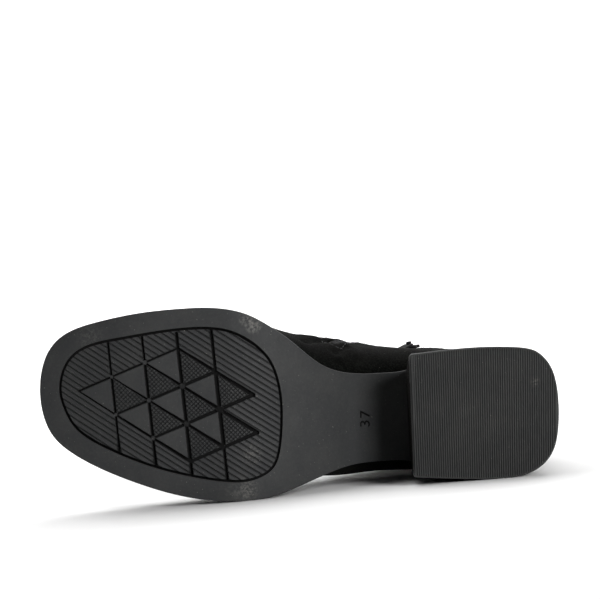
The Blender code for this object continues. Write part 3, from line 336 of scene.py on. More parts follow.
arch_share = steady(OUTSOLE_PROFILE["along"], OUTSOLE_PROFILE["arch"])
spring_share = steady(OUTSOLE_PROFILE["along"], OUTSOLE_PROFILE["spring"])


def sole_underside(x):
    share = np.clip((np.asarray(x, float) - SEAT_BACK) / OUTSOLE_LENGTH, 0.0, 1.0)
    return arch_share(share) * SEAT_HEIGHT + spring_share(share) * TOE_SPRING


def sole_thickness(x):
    swell = ramp(THIN_UNTIL, THICK_FROM, (np.asarray(x, float) - SEAT_BACK) / OUTSOLE_LENGTH)
    return WAIST_THICKNESS + (FOREFOOT_THICKNESS - WAIST_THICKNESS) * swell


def sole_top(x):
    return sole_underside(x) + sole_thickness(x)


def set_in(edge, inset):
    """An outline drawn in by inset all round: 0 at its back to 1 at its front gives x and both sides."""
    low, high = edge["along"][0], edge["along"][-1]
    turns = around((np.array(edge["along"]) - low) / (high - low))
    turn = np.linspace(0.0, math.pi, 721)
    x = sole_x(low + (high - low) * (1 - np.cos(turn)) / 2)
    sides = []
    for name, sign in (("medial", 1), ("lateral", -1)):
        y = spline(turns, edge[name])(turn) * BALL_WIDTH
        slope_x, slope_y = np.gradient(x), np.gradient(y)
        length = np.maximum(np.hypot(slope_x, slope_y), 1e-12)
        moved_x = x + sign * inset * slope_y / length
        moved_y = y - sign * inset * slope_x / length
        keep = np.concatenate([[True], np.diff(np.maximum.accumulate(moved_x)) > 0])
        sides.append((moved_x[keep], moved_y[keep]))

    def at(share):
        share = np.asarray(share, float)
        place = sole_x(low + share * (high - low)) + inset * (1 - 2 * share)
        medial, lateral = (np.interp(place, *side) for side in sides)
        end = (share <= 0.0) | (share >= 1.0)
        middle = (medial + lateral) / 2
        return place, np.where(end, middle, medial), np.where(end, middle, lateral)

    def across(place):
        return tuple(np.interp(place, *side) for side in sides)

    at.across = across
    return at


def dense_ends(count):
    """Shares from 0 to 1, evenly spaced but for closer ones near both ends, where an outline turns."""
    even = (np.arange(count) + 0.5) / count
    return spaced(0.1 + 0.9 * ramp(0.0, 0.06, even) * ramp(0.0, 0.06, 1 - even))


def boot_to_row():
    """The matrix that lays the boot's frame on the floor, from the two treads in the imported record."""
    mounts = {mount["name"]: mount for mount in frame["record"]["mounts"]}
    heel, forefoot = (Vector(mounts[name]["pos_m"]) for name in ("heel_tread", "forefoot_tread"))
    up = -Vector(mounts["heel_tread"]["axis"]).normalized()
    run = forefoot - heel
    run = (run - up * run.dot(up)).normalized()
    span = FOREFOOT_TREAD - HEEL_TREAD
    forward = Matrix.Rotation(-math.atan2(span.y, span.x), 3, up) @ run
    left = up.cross(forward)
    place = Matrix((forward, left, up)).transposed().to_4x4()
    place.translation = heel - place.to_3x3() @ HEEL_TREAD
    return place


BOOT_TO_ROW = boot_to_row()


def linked(name, data):
    """A new object in the scene, with its data."""
    made = bpy.data.objects.new(name, data)
    bpy.context.scene.collection.objects.link(made)
    return made


# Distances in metres below which points are joined and faces count as slivers
MERGE, SLIVER = 2e-6, 1e-7


def clean(mesh, merge, sliver=None):
    """Joins points closer than merge, takes out slivers thinner than that, and turns the faces outwards."""
    work = bmesh.new()
    work.from_mesh(mesh)
    bmesh.ops.remove_doubles(work, verts=work.verts, dist=merge)
    if sliver:
        bmesh.ops.dissolve_degenerate(work, edges=work.edges, dist=sliver)
    bmesh.ops.recalc_face_normals(work, faces=work.faces)
    work.to_mesh(mesh)
    work.free()


def boot_body(name, vertices, faces, sliver=None):
    """A body given in the boot's frame, laid in place."""
    mesh = bpy.data.meshes.new(name)
    mesh.from_pydata([tuple(v) for v in vertices], [], faces)
    clean(mesh, MERGE, sliver)
    mesh.transform(BOOT_TO_ROW)
    return linked(name, mesh)


def shade(made, sharp_from):
    """Smooth shading, but for the edges that turn by more degrees than that."""
    made.data.shade_smooth()
    made.data.set_sharp_from_angle(angle=math.radians(sharp_from))


def new_piece(name, vertices, faces, finish, slot, replaces, sharp_from):
    """A visible body given in the boot's frame, that rides on the boot."""
    made = boot_body(name, vertices, faces, SLIVER)
    shade(made, sharp_from)
    return settle(made, material(finish), "boot", replaces)


def dress(made, finish):
    """Gives a piece its one material."""
    made.data.materials.clear()
    made.data.materials.append(finish)


def settle(made, finish, body, replaces=()):
    """Gives a piece its material and body, and hides the nodes that it stands for."""
    dress(made, finish)
    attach(made, body)
    if replaces:
        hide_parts(*replaces)
    return made


def cut_away(made, cutters):
    """Cuts bodies out of a piece and removes them."""
    for cutter in cutters:
        cut = made.modifiers.new("cut", "BOOLEAN")
        cut.operation = "DIFFERENCE"
        cut.solver = "EXACT"
        cut.object = cutter
    mesh = evaluated_mesh(made)
    made.modifiers.clear()
    made.data = mesh
    for cutter in cutters:
        bpy.data.objects.remove(cutter, do_unlink=True)


def evaluated_mesh(made):
    """A new mesh of the object as its modifiers and its curve make it."""
    graph = bpy.context.evaluated_depsgraph_get()
    return bpy.data.meshes.new_from_object(made.evaluated_get(graph), depsgraph=graph)


def lofted(rings):
    """Vertices and faces of a body from rings, each a list of medial points and a list of lateral points."""
    pairs = len(rings[0][0])
    vertices = []
    for medial, lateral in rings:
        vertices += list(medial) + list(lateral)[::-1]
    size = 2 * pairs
    faces = []
    for level in range(len(rings) - 1):
        low, high = level * size, (level + 1) * size
        for i in range(size):
            j = (i + 1) % size
            faces.append((low + i, low + j, high + j, high + i))
    for start in (0, (len(rings) - 1) * size):
        for i in range(pairs - 1):
            faces.append((start + i, start + i + 1, start + size - 2 - i, start + size - 1 - i))
    return vertices, faces


def ring_at(edge, shares, up):
    """A ring of the sole: both sides of an outline, at the heights that up gives over x."""
    x, medial, lateral = edge(shares)
    z = up(x)
    return np.column_stack([x, medial, z]), np.column_stack([x, lateral, z])


# Materials

def linear(hex_colour):
    """Linear colour with alpha from an sRGB hex value."""
    channels = [int(hex_colour[i : i + 2], 16) / 255 for i in (1, 3, 5)]
    return [*(c / 12.92 if c <= 0.04045 else ((c + 0.055) / 1.055) ** 2.4 for c in channels), 1.0]


def add(tree, kind, settings, inputs, output=0):
    """Adds a node with its settings, and values or links on its inputs, and gives back one of its outputs."""
    made = tree.nodes.new(kind)
    for name, value in settings.items():
        setattr(made, name, value)
    for name, value in inputs.items():
        if isinstance(value, bpy.types.NodeSocket):
            tree.links.new(value, made.inputs[name])
        else:
            made.inputs[name].default_value = value
    return made.outputs[output]


def new_material(name):
    """An empty material with its tree, its shader and the Object coordinates."""
    made = bpy.data.materials.new(name)
    made.use_nodes = True
    tree = made.node_tree
    shader = tree.nodes["Principled BSDF"]
    coordinates = add(tree, "ShaderNodeTexCoord", {}, {}, "Object")
    return made, tree, shader, coordinates


def mixed(tree, factor, first, second):
    """Colour between two colours."""
    inputs = {0: factor, 6: first, 7: second}
    return add(tree, "ShaderNodeMix", {"data_type": "RGBA"}, inputs, 2)


def stretched(tree, value, low, high, to_low=0.0, to_high=1.0):
    """A value whose range from low to high is brought to another range, and held inside it."""
    inputs = {"Value": value, "From Min": low, "From Max": high, "To Min": to_low, "To Max": to_high}
    return add(tree, "ShaderNodeMapRange", {}, inputs)


def grain(tree, coordinates, millimetres, detail=2.0, roughness=0.5):
    """Noise whose blotches are about that many millimetres across."""
    inputs = {"Vector": coordinates, "Scale": 1000.0 / millimetres, "Detail": detail, "Roughness": roughness}
    return add(tree, "ShaderNodeTexNoise", {}, inputs, 0)


def row_place(x, y, z):
    """A place given in millimetres in the boot's frame, in metres on the floor."""
    return tuple(BOOT_TO_ROW @ Vector((x / 1000, y / 1000, z / 1000)))


def near(tree, coordinates, place, radius):
    """1 at a place and 0 beyond a radius in millimetres."""
    inputs = {0: coordinates, 1: row_place(*place)}
    distance = add(tree, "ShaderNodeVectorMath", {"operation": "DISTANCE"}, inputs, "Value")
    return stretched(tree, distance, 0.0, radius / 1000, 1.0, 0.0)


def product(tree, first, second):
    """One value or socket times the other."""
    return add(tree, "ShaderNodeMath", {"operation": "MULTIPLY"}, {0: first, 1: second})


DUST, SPECKS, CHALK = "#6a6862", "#a9a59c", "#b9b5ad"
# painted highlight for the studs' tops, and painted shade for the grooves
PAINTED_STUD_HIGHLIGHT, PAINTED_GROOVE_SHADE = "#646564", "#040404"


def bumped(made, height, strength, distance):
    """The material with a bump of that height on its shader."""
    tree = made.node_tree
    bump = add(tree, "ShaderNodeBump", {}, {"Strength": strength, "Distance": distance, "Height": height})
    tree.links.new(bump, tree.nodes["Principled BSDF"].inputs["Normal"])
    return made


def rubber_material(name, base, scuffs, strength):
    """Moulded thermoplastic rubber, matt from the mould, with a film of dust, specks, scuffs, painted shade in
    its grooves and a painted highlight on the studs' tops.
    """
    made, tree, shader, place = new_material(name)
    film = stretched(tree, grain(tree, place, 17.0, 4.0, 0.6), 0.42, 0.72, 0.0, 0.05)
    colour = mixed(tree, film, linear(base), linear(DUST))
    fine = stretched(tree, grain(tree, place, 1.3, 3.0, 0.7), 0.45, 0.75, 0.0, 0.05)
    colour = mixed(tree, fine, colour, linear(DUST))
    specks = stretched(tree, grain(tree, place, 0.8, 1.0), 0.745, 0.80, 0.0, 0.22)
    colour = mixed(tree, specks, colour, linear(SPECKS))
    for spot, radius, blotch, amount in scuffs:
        worn = product(tree, near(tree, place, spot, radius),
                       stretched(tree, grain(tree, place, blotch, 3.0, 0.7), 0.44, 0.66, 0.0, amount))
        colour = mixed(tree, worn, colour, linear(CHALK))
    # the studs' tops get a painted highlight of lighter grey, and the grooves get painted shade that turns
    # them black
    sunk = add(tree, "ShaderNodeAttribute", {"attribute_name": "sunk"}, {}, "Fac")
    colour = mixed(tree, stretched(tree, sunk, -1.0, 0.0, 0.9, 0.0), colour, linear(PAINTED_STUD_HIGHLIGHT))
    sunk = stretched(tree, sunk, 0.0, 1.0)
    tree.links.new(mixed(tree, sunk, colour, linear(PAINTED_GROOVE_SHADE)), shader.inputs["Base Color"])
    rough = stretched(tree, grain(tree, place, 3.0, 3.0), 0.3, 0.7, 0.60, 0.68)
    rough = add(tree, "ShaderNodeMath", {"operation": "MULTIPLY_ADD"}, {0: sunk, 1: 0.4, 2: rough})
    tree.links.new(rough, shader.inputs["Roughness"])
    shader.inputs["Specular IOR Level"].default_value = 0.3
    return bumped(made, grain(tree, place, 0.55, 3.0, 0.6), strength, 0.00012)


FIBRE_SHADOW, LINT, FIBRE_SHEEN = "#010101", "#77736c", "#8a8684"


def suede_material(name, base, nap, tip, scale):
    """Split leather with its nap raised: short fibres that scatter light, brushed lighter in patches."""
    made, tree, shader, place = new_material(name)
    patches = stretched(tree, grain(tree, place, 16.0 * scale, 4.0, 0.62), 0.40, 0.64)
    colour = mixed(tree, patches, linear(base), linear(nap))
    fibres = grain(tree, place, 0.9 * scale, 5.0, 0.75)
    colour = mixed(tree, stretched(tree, fibres, 0.48, 0.62, 0.0, 0.75), colour, linear(tip))
    colour = mixed(tree, stretched(tree, fibres, 0.50, 0.36, 0.0, 0.85), colour, linear(FIBRE_SHADOW))
    lint = stretched(tree, grain(tree, place, 1.1, 1.0), 0.77, 0.81, 0.0, 0.2)
    colour = mixed(tree, lint, colour, linear(LINT))
    tree.links.new(colour, shader.inputs["Base Color"])
    shader.inputs["Roughness"].default_value = 0.92
    shader.inputs["Specular IOR Level"].default_value = 0.04
    shader.inputs["Sheen Weight"].default_value = 0.02
    shader.inputs["Sheen Roughness"].default_value = 0.45
    shader.inputs["Sheen Tint"].default_value = linear(FIBRE_SHEEN)
    return bumped(made, fibres, 0.7, 0.0004)


def leather_material(name, base, worn, pore):
    """Smooth lining leather: fine pores, a dull finish and a colour that wear has changed in patches."""
    made, tree, shader, place = new_material(name)
    patches = stretched(tree, grain(tree, place, 20.0, 3.0), 0.35, 0.7)
    tree.links.new(mixed(tree, patches, linear(base), linear(worn)), shader.inputs["Base Color"])
    cells = add(tree, "ShaderNodeTexVoronoi", {}, {"Vector": place, "Scale": 1000.0 / pore})
    shader.inputs["Roughness"].default_value = 0.62
    return bumped(made, cells, 0.35, 0.0001)


WAVE_TURN = 6.283  # a turn in radians, by which the scale of the wave texture is divided


def diagonals(tree, coordinates, step, more):
    """Diagonal bands, 2.28 mm apart for a step of 1."""
    inputs = {"Vector": coordinates, "Scale": 1000.0 / step / WAVE_TURN, **more}
    return add(tree, "ShaderNodeTexWave", {"bands_direction": "DIAGONAL"}, inputs, 1)


def tape_material():
    """Woven polyester tape: a twill whose diagonal lines run about 1.4 mm apart over its face."""
    made, tree, shader, place = new_material("woven_zip_tape")
    threads = diagonals(tree, place, 0.5, {"Distortion": 0.6, "Detail": 1.0, "Detail Scale": 8.0})
    colour = mixed(tree, stretched(tree, threads, 0.2, 0.8), linear("#0b0b0c"), linear("#1b1b1d"))
    tree.links.new(colour, shader.inputs["Base Color"])
    shader.inputs["Roughness"].default_value = 0.85
    return bumped(made, threads, 0.5, 0.0001)


def nylon_material():
    """Black nylon zip teeth, extruded and slightly glossy, so that each one carries a point of light."""
    made, tree, shader, place = new_material("extruded_nylon")
    clouds = stretched(tree, grain(tree, place, 2.0), 0.4, 0.7)
    tree.links.new(mixed(tree, clouds, linear("#0c0c0d"), linear("#171719")), shader.inputs["Base Color"])
    rough = stretched(tree, grain(tree, place, 1.0), 0.3, 0.7, 0.42, 0.58)
    tree.links.new(rough, shader.inputs["Roughness"])
    shader.inputs["Specular IOR Level"].default_value = 0.2
    return made


def metal_material():
    """Zinc alloy casting, enamelled matt black, with a dull shine that handling has rubbed uneven."""
    made, tree, shader, place = new_material("black_enamelled_zinc")
    shader.inputs["Specular IOR Level"].default_value = 0.08
    rubbed = stretched(tree, grain(tree, place, 2.5, 4.0, 0.7), 0.45, 0.75)
    tree.links.new(mixed(tree, rubbed, linear("#0a0a0b"), linear("#1c1c1e")), shader.inputs["Base Color"])
    rough = stretched(tree, grain(tree, place, 1.2, 4.0, 0.8), 0.3, 0.7, 0.70, 0.85)
    tree.links.new(rough, shader.inputs["Roughness"])
    return made


def thread_material():
    """Bonded polyester thread, twisted, with a dull sheen."""
    made, tree, shader, place = new_material("bonded_thread")
    twist = diagonals(tree, place, 0.45, {})
    tree.links.new(mixed(tree, twist, linear("#0d0d0e"), linear("#222224")), shader.inputs["Base Color"])
    shader.inputs["Roughness"].default_value = 0.6
    return made


# Where handling has marked the rubber: a place in millimetres in the boot's frame, how far the mark reaches,
# how large its blotches are and how strong it is. The sole has a rubbed spot on its medial rim, and chalky
# dust on its lateral rim and in the ribs.
SOLE_SCUFFS = [
    ((147, 42, 1), 5.0, 2.4, 0.30), ((151, 45, 1), 4.0, 1.2, 0.20), ((150, -37.5, 0.5), 7.0, 1.2, 0.18),
    ((147.5, -20, 0), 7.0, 0.9, 0.22), ((153, -36, 0), 12.0, 3.0, 0.07), ((226, 36, 3), 10.0, 1.2, 0.06),
]
HEEL_SCUFFS = [((11.5, 15, 0), 3.0, 1.0, 0.25), ((40, 4, 0), 30.0, 12.0, 0.03)]

# What makes each finish, from the colours that can be set
FINISHES = {
    "sole": lambda boot: rubber_material("moulded_rubber", boot.rubber_colour, SOLE_SCUFFS, 0.3),
    "heel": lambda boot: rubber_material("moulded_top_piece", boot.heel_rubber_colour, HEEL_SCUFFS, 0.2),
    "suede": lambda boot: suede_material("black_suede", boot.suede_colour, boot.nap_colour, "#151614", 1.0),
    # the heel covering is the upper's suede made darker: painted shade, so that the heel's breast face shows
    # black
    "covering": lambda boot: suede_material("suede_heel_covering", "#020202", "#060605", "#0b0b0a", 0.8),
    "lining": lambda boot: leather_material("lining_leather", boot.lining_colour, "#3a332d", 0.9),
    "insole": lambda boot: leather_material("insole_leather", "#3d342d", "#55483d", 1.2),
    "tape": lambda boot: tape_material(),
    "nylon": lambda boot: nylon_material(),
    "metal": lambda boot: metal_material(),
    "thread": lambda boot: thread_material(),
}


@cache
def material(name):
    """Each finish of the boot, made once."""
    return FINISHES[name](bpy.context.scene.boot_finish)


# Sole and heel

def tread_depth(x, y):
    """How far the tread lies below its own face at each place: lugs, chequers, ribs, grooves and plugs."""
    tread = bpy.context.scene.boot_tread
    along, over = (x - SEAT_BACK) / OUTSOLE_LENGTH, y / BALL_WIDTH
    steps = np.linalg.inv(np.array([STEP_BACK, STEP_ACROSS]).T)
    back = steps[0, 0] * (along - LATTICE_CORNER[0]) + steps[0, 1] * (over - LATTICE_CORNER[1])
    across = steps[1, 0] * (along - LATTICE_CORNER[0]) + steps[1, 1] * (over - LATTICE_CORNER[1])
    cell_back, cell_across = np.floor(back).astype(int), np.floor(across).astype(int)
    rear = (across - cell_across) > (back - cell_back)
    chequered, smooth = np.zeros(x.shape, bool), np.zeros(x.shape, bool)
    for i, j in CHEQUERED:
        chequered |= rear & (cell_back == i) & (cell_across == j)
    for i, j in SMOOTH:
        smooth |= ~rear & (cell_back == i) & (cell_across == j)

    # Ribs run the way of the grooves that go back and across together, with a V-shaped cut between them
    way = rib_way()
    beside = x * way[1] - y * way[0]
    phase = np.abs((beside / tread.rib_pitch) % 1.0 - 0.5) * tread.rib_pitch
    half = tread.rib_pitch * tread.rib_groove_share / 2
    depth = tread.rib_depth * np.clip(RIB_CUT_OVERDRAW * (1 - phase / half), 0.0, 1.0)

    # Chequers: small studs with sloping sides between two sets of cuts that cross the sole at 45 degrees
    across_cuts = ((x + y) * math.sqrt(0.5), (x - y) * math.sqrt(0.5))
    first, second = (1 - 2 * np.abs((run / tread.chequer_pitch) % 1.0 - 0.5) for run in across_cuts)
    stud = np.clip((np.minimum(first, second) - STUD_CUT) / STUD_SLOPE, 0.0, 1.0)
    depth = np.where(chequered, tread.chequer_depth * (1 - stud) - STUD_RISE, depth)
    depth = np.where(smooth, SMOOTH_LUG_DEPTH, depth)

    grooves = LATTICE_GROOVES
    for k, width in enumerate(grooves["width"]):
        start = lattice_place(grooves["back"][k], grooves["across"][k])
        end = lattice_place(grooves["to_back"][k], grooves["to_across"][k])
        run = end - start
        length = np.linalg.norm(run)
        share = np.clip(((x - start[0]) * run[0] + (y - start[1]) * run[1]) / length**2, 0.0, 1.0)
        distance = np.hypot(x - start[0] - share * run[0], y - start[1] - share * run[1])
        half = (width + share * (grooves["to_width"][k] - width)) / 2000 + GROOVE_DRAFT
        depth = np.maximum(depth, tread.groove_depth * ramp(half + GROOVE_EDGE, half - GROOVE_EDGE, distance))
    for i, j in PLUGS:
        node = lattice_place(i, j)
        radius = PLUG_RADIUS + PLUG_WIDER_BACK * i
        plug = ramp(radius + PLUG_EDGE, radius - PLUG_EDGE, np.hypot(x - node[0], y - node[1]))
        top = np.minimum(depth, PLUG_DEEPER_BACK * (i - 1) + PLUG_DEEPER_ACROSS * j)
        depth = depth * (1 - plug) + top * plug
    return depth


def rib_way():
    """Unit direction of the ribs, seen in plan."""
    along, over = np.array(STEP_BACK) + np.array(STEP_ACROSS)
    way = np.array([along * OUTSOLE_LENGTH, over * BALL_WIDTH])
    return way / np.linalg.norm(way)


def lattice_place(back, across):
    """Where steps of the lattice lead from its corner, in plan."""
    along = LATTICE_CORNER[0] + back * STEP_BACK[0] + across * STEP_ACROSS[0]
    over = LATTICE_CORNER[1] + back * STEP_BACK[1] + across * STEP_ACROSS[1]
    return np.array([sole_x(along), over * BALL_WIDTH])


def quarter_turns(steps):
    """Angles from 0 to a quarter turn, in even steps."""
    return [math.pi / 2 * step / steps for step in range(steps + 1)]


def grid_faces(rows, columns, start=0):
    """Quads of a grid whose points are counted row by row."""
    corner = (np.arange(rows - 1)[:, None] * columns + np.arange(columns - 1)[None, :]).ravel() + start
    return np.column_stack([corner, corner + 1, corner + columns + 1, corner + columns]).tolist()


class BOOT_OT_outsole(bpy.types.Operator):
    """Makes the outsole: rounded edge, smooth rim and waist, size mark and the seat of the tread"""

    bl_idname = "boot.outsole"
    bl_label = "Outsole"

    def execute(self, context):
        shares = dense_ends(170)
        radius = SOLE_EDGE_RADIUS
        rings = []
        for turn in quarter_turns(5):
            edge = set_in(OUTSOLE_EDGE, radius * (1 - math.sin(turn)))
            up = radius * (1 - math.cos(turn))
            rings.append(ring_at(edge, shares, lambda x: sole_underside(x) + up))
        for turn in quarter_turns(4):
            edge = set_in(OUTSOLE_EDGE, TOP_EDGE_SHARE * radius * (1 - math.cos(turn)))
            down = TOP_EDGE_SHARE * radius * (1 - math.sin(turn))
            rings.append(ring_at(edge, shares, lambda x: sole_top(x) - down))
        sole = new_piece("outsole_body", *lofted(rings), "sole", "sole_rubber", ["outsole"], 50)
        cut_away(sole, [self.tread_seat(), self.size_mark()])
        shade(sole, 35)
        sole_depth_marks(sole)
        return {"FINISHED"}

    def tread_seat(self):
        """Cutter for the place where the tread panel sits, out to the far side of the loop groove."""
        edge = set_in(TREAD_LOOP, -LOOP_GROOVE_WIDTH / 2)
        shares = dense_ends(140)
        depths = (-TREAD_DEPTH, TREAD_DEPTH)
        rings = [ring_at(edge, shares, lambda x: sole_underside(x) + depth) for depth in depths]
        return boot_body("tread_seat", *lofted(rings))

    def size_mark(self):
        """Cutter for the plain size number in the waist, which reads from the lateral to the medial side."""
        tread = bpy.context.scene.boot_tread
        text = bpy.data.curves.new("size_mark", "FONT")
        text.body = tread.size_mark
        text.size = tread.size_mark_height * TEXT_SIZE_TO_HEIGHT
        text.align_x, text.align_y = "CENTER", "CENTER"
        text.extrude = SIZE_MARK_DEPTH
        text.offset = FIGURE_GROWTH
        text.space_character = FIGURE_SPACING
        text.resolution_u = 3
        (x, over), step = SIZE_MARK_PLACE, 0.002
        slope = (float(sole_underside(x + step)) - float(sole_underside(x - step))) / (2 * step)
        up = Vector((1, 0, slope)).normalized()
        right = Vector((0, 1, 0))
        place = Matrix((right, up, right.cross(up))).transposed().to_4x4()
        place.translation = Vector((x, over, float(sole_underside(x))))
        flat = linked("size_mark", text)
        bpy.context.view_layer.update()
        mesh = evaluated_mesh(flat)
        bpy.data.objects.remove(flat, do_unlink=True)
        clean(mesh, MERGE / 2)
        mesh.transform(BOOT_TO_ROW @ place)
        return linked("size_mark_cutter", mesh)


def boot_places(mesh):
    """The mesh's points in the boot's frame, one in each row."""
    places = np.empty(3 * len(mesh.vertices))
    mesh.vertices.foreach_get("co", places)
    turn = np.array(BOOT_TO_ROW.inverted())
    return places.reshape(-1, 3) @ turn[:3, :3].T + turn[:3, 3]


def mark_depth(piece, sunk):
    """Keeps on each point the painted shade of a groove, from 0 to 1 as deep as it lies, or -1 for the painted
    highlight on the top of a stud.
    """
    piece.data.attributes.new("sunk", "FLOAT", "POINT").data.foreach_set("value", sunk)


MARKS_PAST_GROOVE = 1e-5  # how far outside the looped groove the depth marks end


def sole_depth_marks(piece):
    """Marks for painted shade in the tread's grooves and the size number's cuts, and for the painted highlight
    on the studs' tops.
    """
    x, y, z = boot_places(piece.data).T
    depth = z - sole_underside(x)
    medial, lateral = set_in(TREAD_LOOP, -LOOP_GROOVE_WIDTH / 2 - MARKS_PAST_GROOVE).across(x)
    # painted shade, darker deeper in the grooves, and a painted highlight on the studs' tops
    sunk = np.clip((depth - PAINTED_SHADE_FROM) / PAINTED_SHADE_OVER, 0.0, 1.0) - np.clip(-depth / STUD_RISE, 0.0, 1.0)
    sunk = np.where((y < medial) & (y > lateral), sunk, 0.0)
    # the size number's cuts get painted shade
    in_mark = np.hypot(x - SIZE_MARK_PLACE[0], y - SIZE_MARK_PLACE[1]) < SIZE_MARK_REACH
    sunk = np.where(in_mark, np.clip(depth / PAINTED_SHADE_FROM, 0.0, 1.0), sunk)
    sunk[depth > TREAD_DEPTH + CLEARANCE] = 0.0  # the sole's upper side
    mark_depth(piece, sunk)


class BOOT_OT_tread(bpy.types.Operator):
    """Makes the tread inside the loop groove, with its lugs, chequers, ribs and grooves in relief"""

    bl_idname = "boot.tread"
    bl_label = "Tread"

    def execute(self, context):
        # rows run along the ribs, from one side of the loop to the other, and start where the loop turns back
        per_rib, columns, pieces = ((11, 400, 3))
        way = rib_way()
        x, medial, lateral = set_in(TREAD_LOOP, LOOP_GROOVE_WIDTH / 2)(dense_ends(400))
        edge = np.concatenate([np.column_stack([x, medial]), np.column_stack([x, lateral])[-2:0:-1]])
        along, beside = edge @ way, edge[:, 0] * way[1] - edge[:, 1] * way[0]
        first = int(np.argmin(beside))
        along, beside = np.roll(along, -first), np.roll(beside, -first)
        turn = int(np.argmax(beside))
        step = context.scene.boot_tread.rib_pitch / per_rib
        clear = 0.2  # part of a step that stays free at both ends, so that the last rows have some length
        rows = np.arange(math.ceil(beside[0] / step + clear), beside[turn] / step - clear) * step
        one_end = np.interp(rows, beside[: turn + 1], along[: turn + 1])
        beside, along = (np.append(side[turn:], side[0])[::-1] for side in (beside, along))
        other_end = np.interp(rows, beside, along)
        share = np.linspace(0.0, 1.0, columns)
        run = one_end[:, None] + (other_end - one_end)[:, None] * share[None, :]
        x = run * way[0] + rows[:, None] * way[1]
        y = run * way[1] - rows[:, None] * way[0]
        z = sole_underside(x)
        top = np.stack([x, y, z + tread_depth(x, y)], axis=2)
        under = np.stack([x, y, z + TREAD_DEPTH], axis=2)
        cuts = np.linspace(0, len(rows) - 1, pieces + 1).astype(int)
        for number, (low, high) in enumerate(zip(cuts, cuts[1:]), 1):
            self.slab(f"tread_panel_{number}", top[low : high + 1], under[low : high + 1])
        return {"FINISHED"}

    def slab(self, name, top, under):
        """A closed body between rows of the tread's face and its flat back."""
        rows, columns = top.shape[:2]
        count = rows * columns
        faces = grid_faces(rows, columns)
        for column, back in ((0, count), (columns - 1, count + rows)):
            for i in range(rows - 1):
                faces.append((i * columns + column, (i + 1) * columns + column, back + i + 1, back + i))
        for i in range(rows - 1):
            faces.append((count + i, count + i + 1, count + rows + i + 1, count + rows + i))
        for i in (0, rows - 1):
            faces.append([i * columns + j for j in range(columns)] + [count + rows + i, count + i])
        vertices = np.concatenate([top.reshape(-1, 3), under[:, 0], under[:, -1]])
        sole_depth_marks(new_piece(name, vertices, faces, "sole", "sole_rubber", ["outsole"], 30))


# Rounded back of the heel: its edge as a curve over the square root of the share of its length
heel_turns = np.sqrt(HEEL_EDGE["along"])
heel_medial = spline(heel_turns, HEEL_EDGE["medial"])
heel_lateral = spline(heel_turns, HEEL_EDGE["lateral"])

# Share of the heel's width, from its middle, over which an inset of its side grows to its full size
INSET_FADE = 0.2
# Slope between the plain rim of the top piece and its ribs, and the wave of the ribs: where the first one
# starts as a share of a step, and the parts of the wave where a cut starts and where it is at its full depth
RIM_SLOPE = 0.00015
FIRST_RIB, CUT_STARTS, CUT_FULL = 0.3, 0.8, 0.1
HEEL_PAINTED_SHADE = 0.7  # painted shade in the heel's cuts at their full depth, where that of the tread reaches 1
RIBS_BELOW = 0.001  # height under which a place of the top piece is part of its walking face
# Levels of the covered block: share of the way up, inset and lift in millimetres. It turns in at both ends.
BLOCK_LEVELS = [
    (0.0, 0.8, 0.0), (0.0, 0.35, 0.25), (0.0, 0.1, 0.55), (0.0, 0.0, 0.9),
    *((up, 0.0, 0.0) for up in np.linspace(0.06, 0.94, 16)),
    (1.0, 0.0, -0.9), (1.0, 0.1, -0.5), (1.0, 0.4, -0.1),
]
TAPER = 1.3  # power of the way up with which the walking face blends into the seat
# Levels of the top piece from its upper side to the walking face: inset and height in millimetres
TOP_PIECE_LEVELS = [(0.25, 6.0), (0.0, 5.75), (0.0, 0.4), (0.08, 0.19), (0.21, 0.05), (0.4, 0.0)]


def heel_side(shares, sign, inset, blend=0.0):
    """One side of the heel, from its back to the breast. blend goes from 0 below to 1 under the seat."""
    shares = np.asarray(shares, float)
    width = (heel_medial if sign > 0 else heel_lateral)(np.sqrt(shares)) * HEEL_WIDTH
    breast = HEEL_LENGTH + sign * BREAST_SKEW / 2
    face_x = inset + shares * (breast - 2 * inset)
    face_y = width - sign * inset * np.minimum(1.0, np.abs(width) / (INSET_FADE * HEEL_WIDTH))
    back = SEAT_BACK + HEEL_SET_IN + inset
    seat_x = back + shares * (breast - inset - back)
    seat = set_in(OUTSOLE_EDGE, HEEL_SET_IN + inset).across(seat_x)[0 if sign > 0 else 1]
    x = face_x + (seat_x - face_x) * blend
    y = face_y + (seat - face_y) * blend
    short = np.clip(HEEL_CORNER_RADIUS - (1 - shares) * HEEL_LENGTH, 0.0, HEEL_CORNER_RADIUS)
    y = y - sign * (HEEL_CORNER_RADIUS - np.sqrt(HEEL_CORNER_RADIUS**2 - short**2))
    return x, y


def heel_shares(count):
    """Shares from the back of the heel to its breast, closer together at the back and at the corners."""
    even = (np.arange(count) + 0.5) / count
    return spaced(0.06 + 0.94 * ramp(0.0, 0.35, even) * ramp(0.0, 0.10, 1 - even))


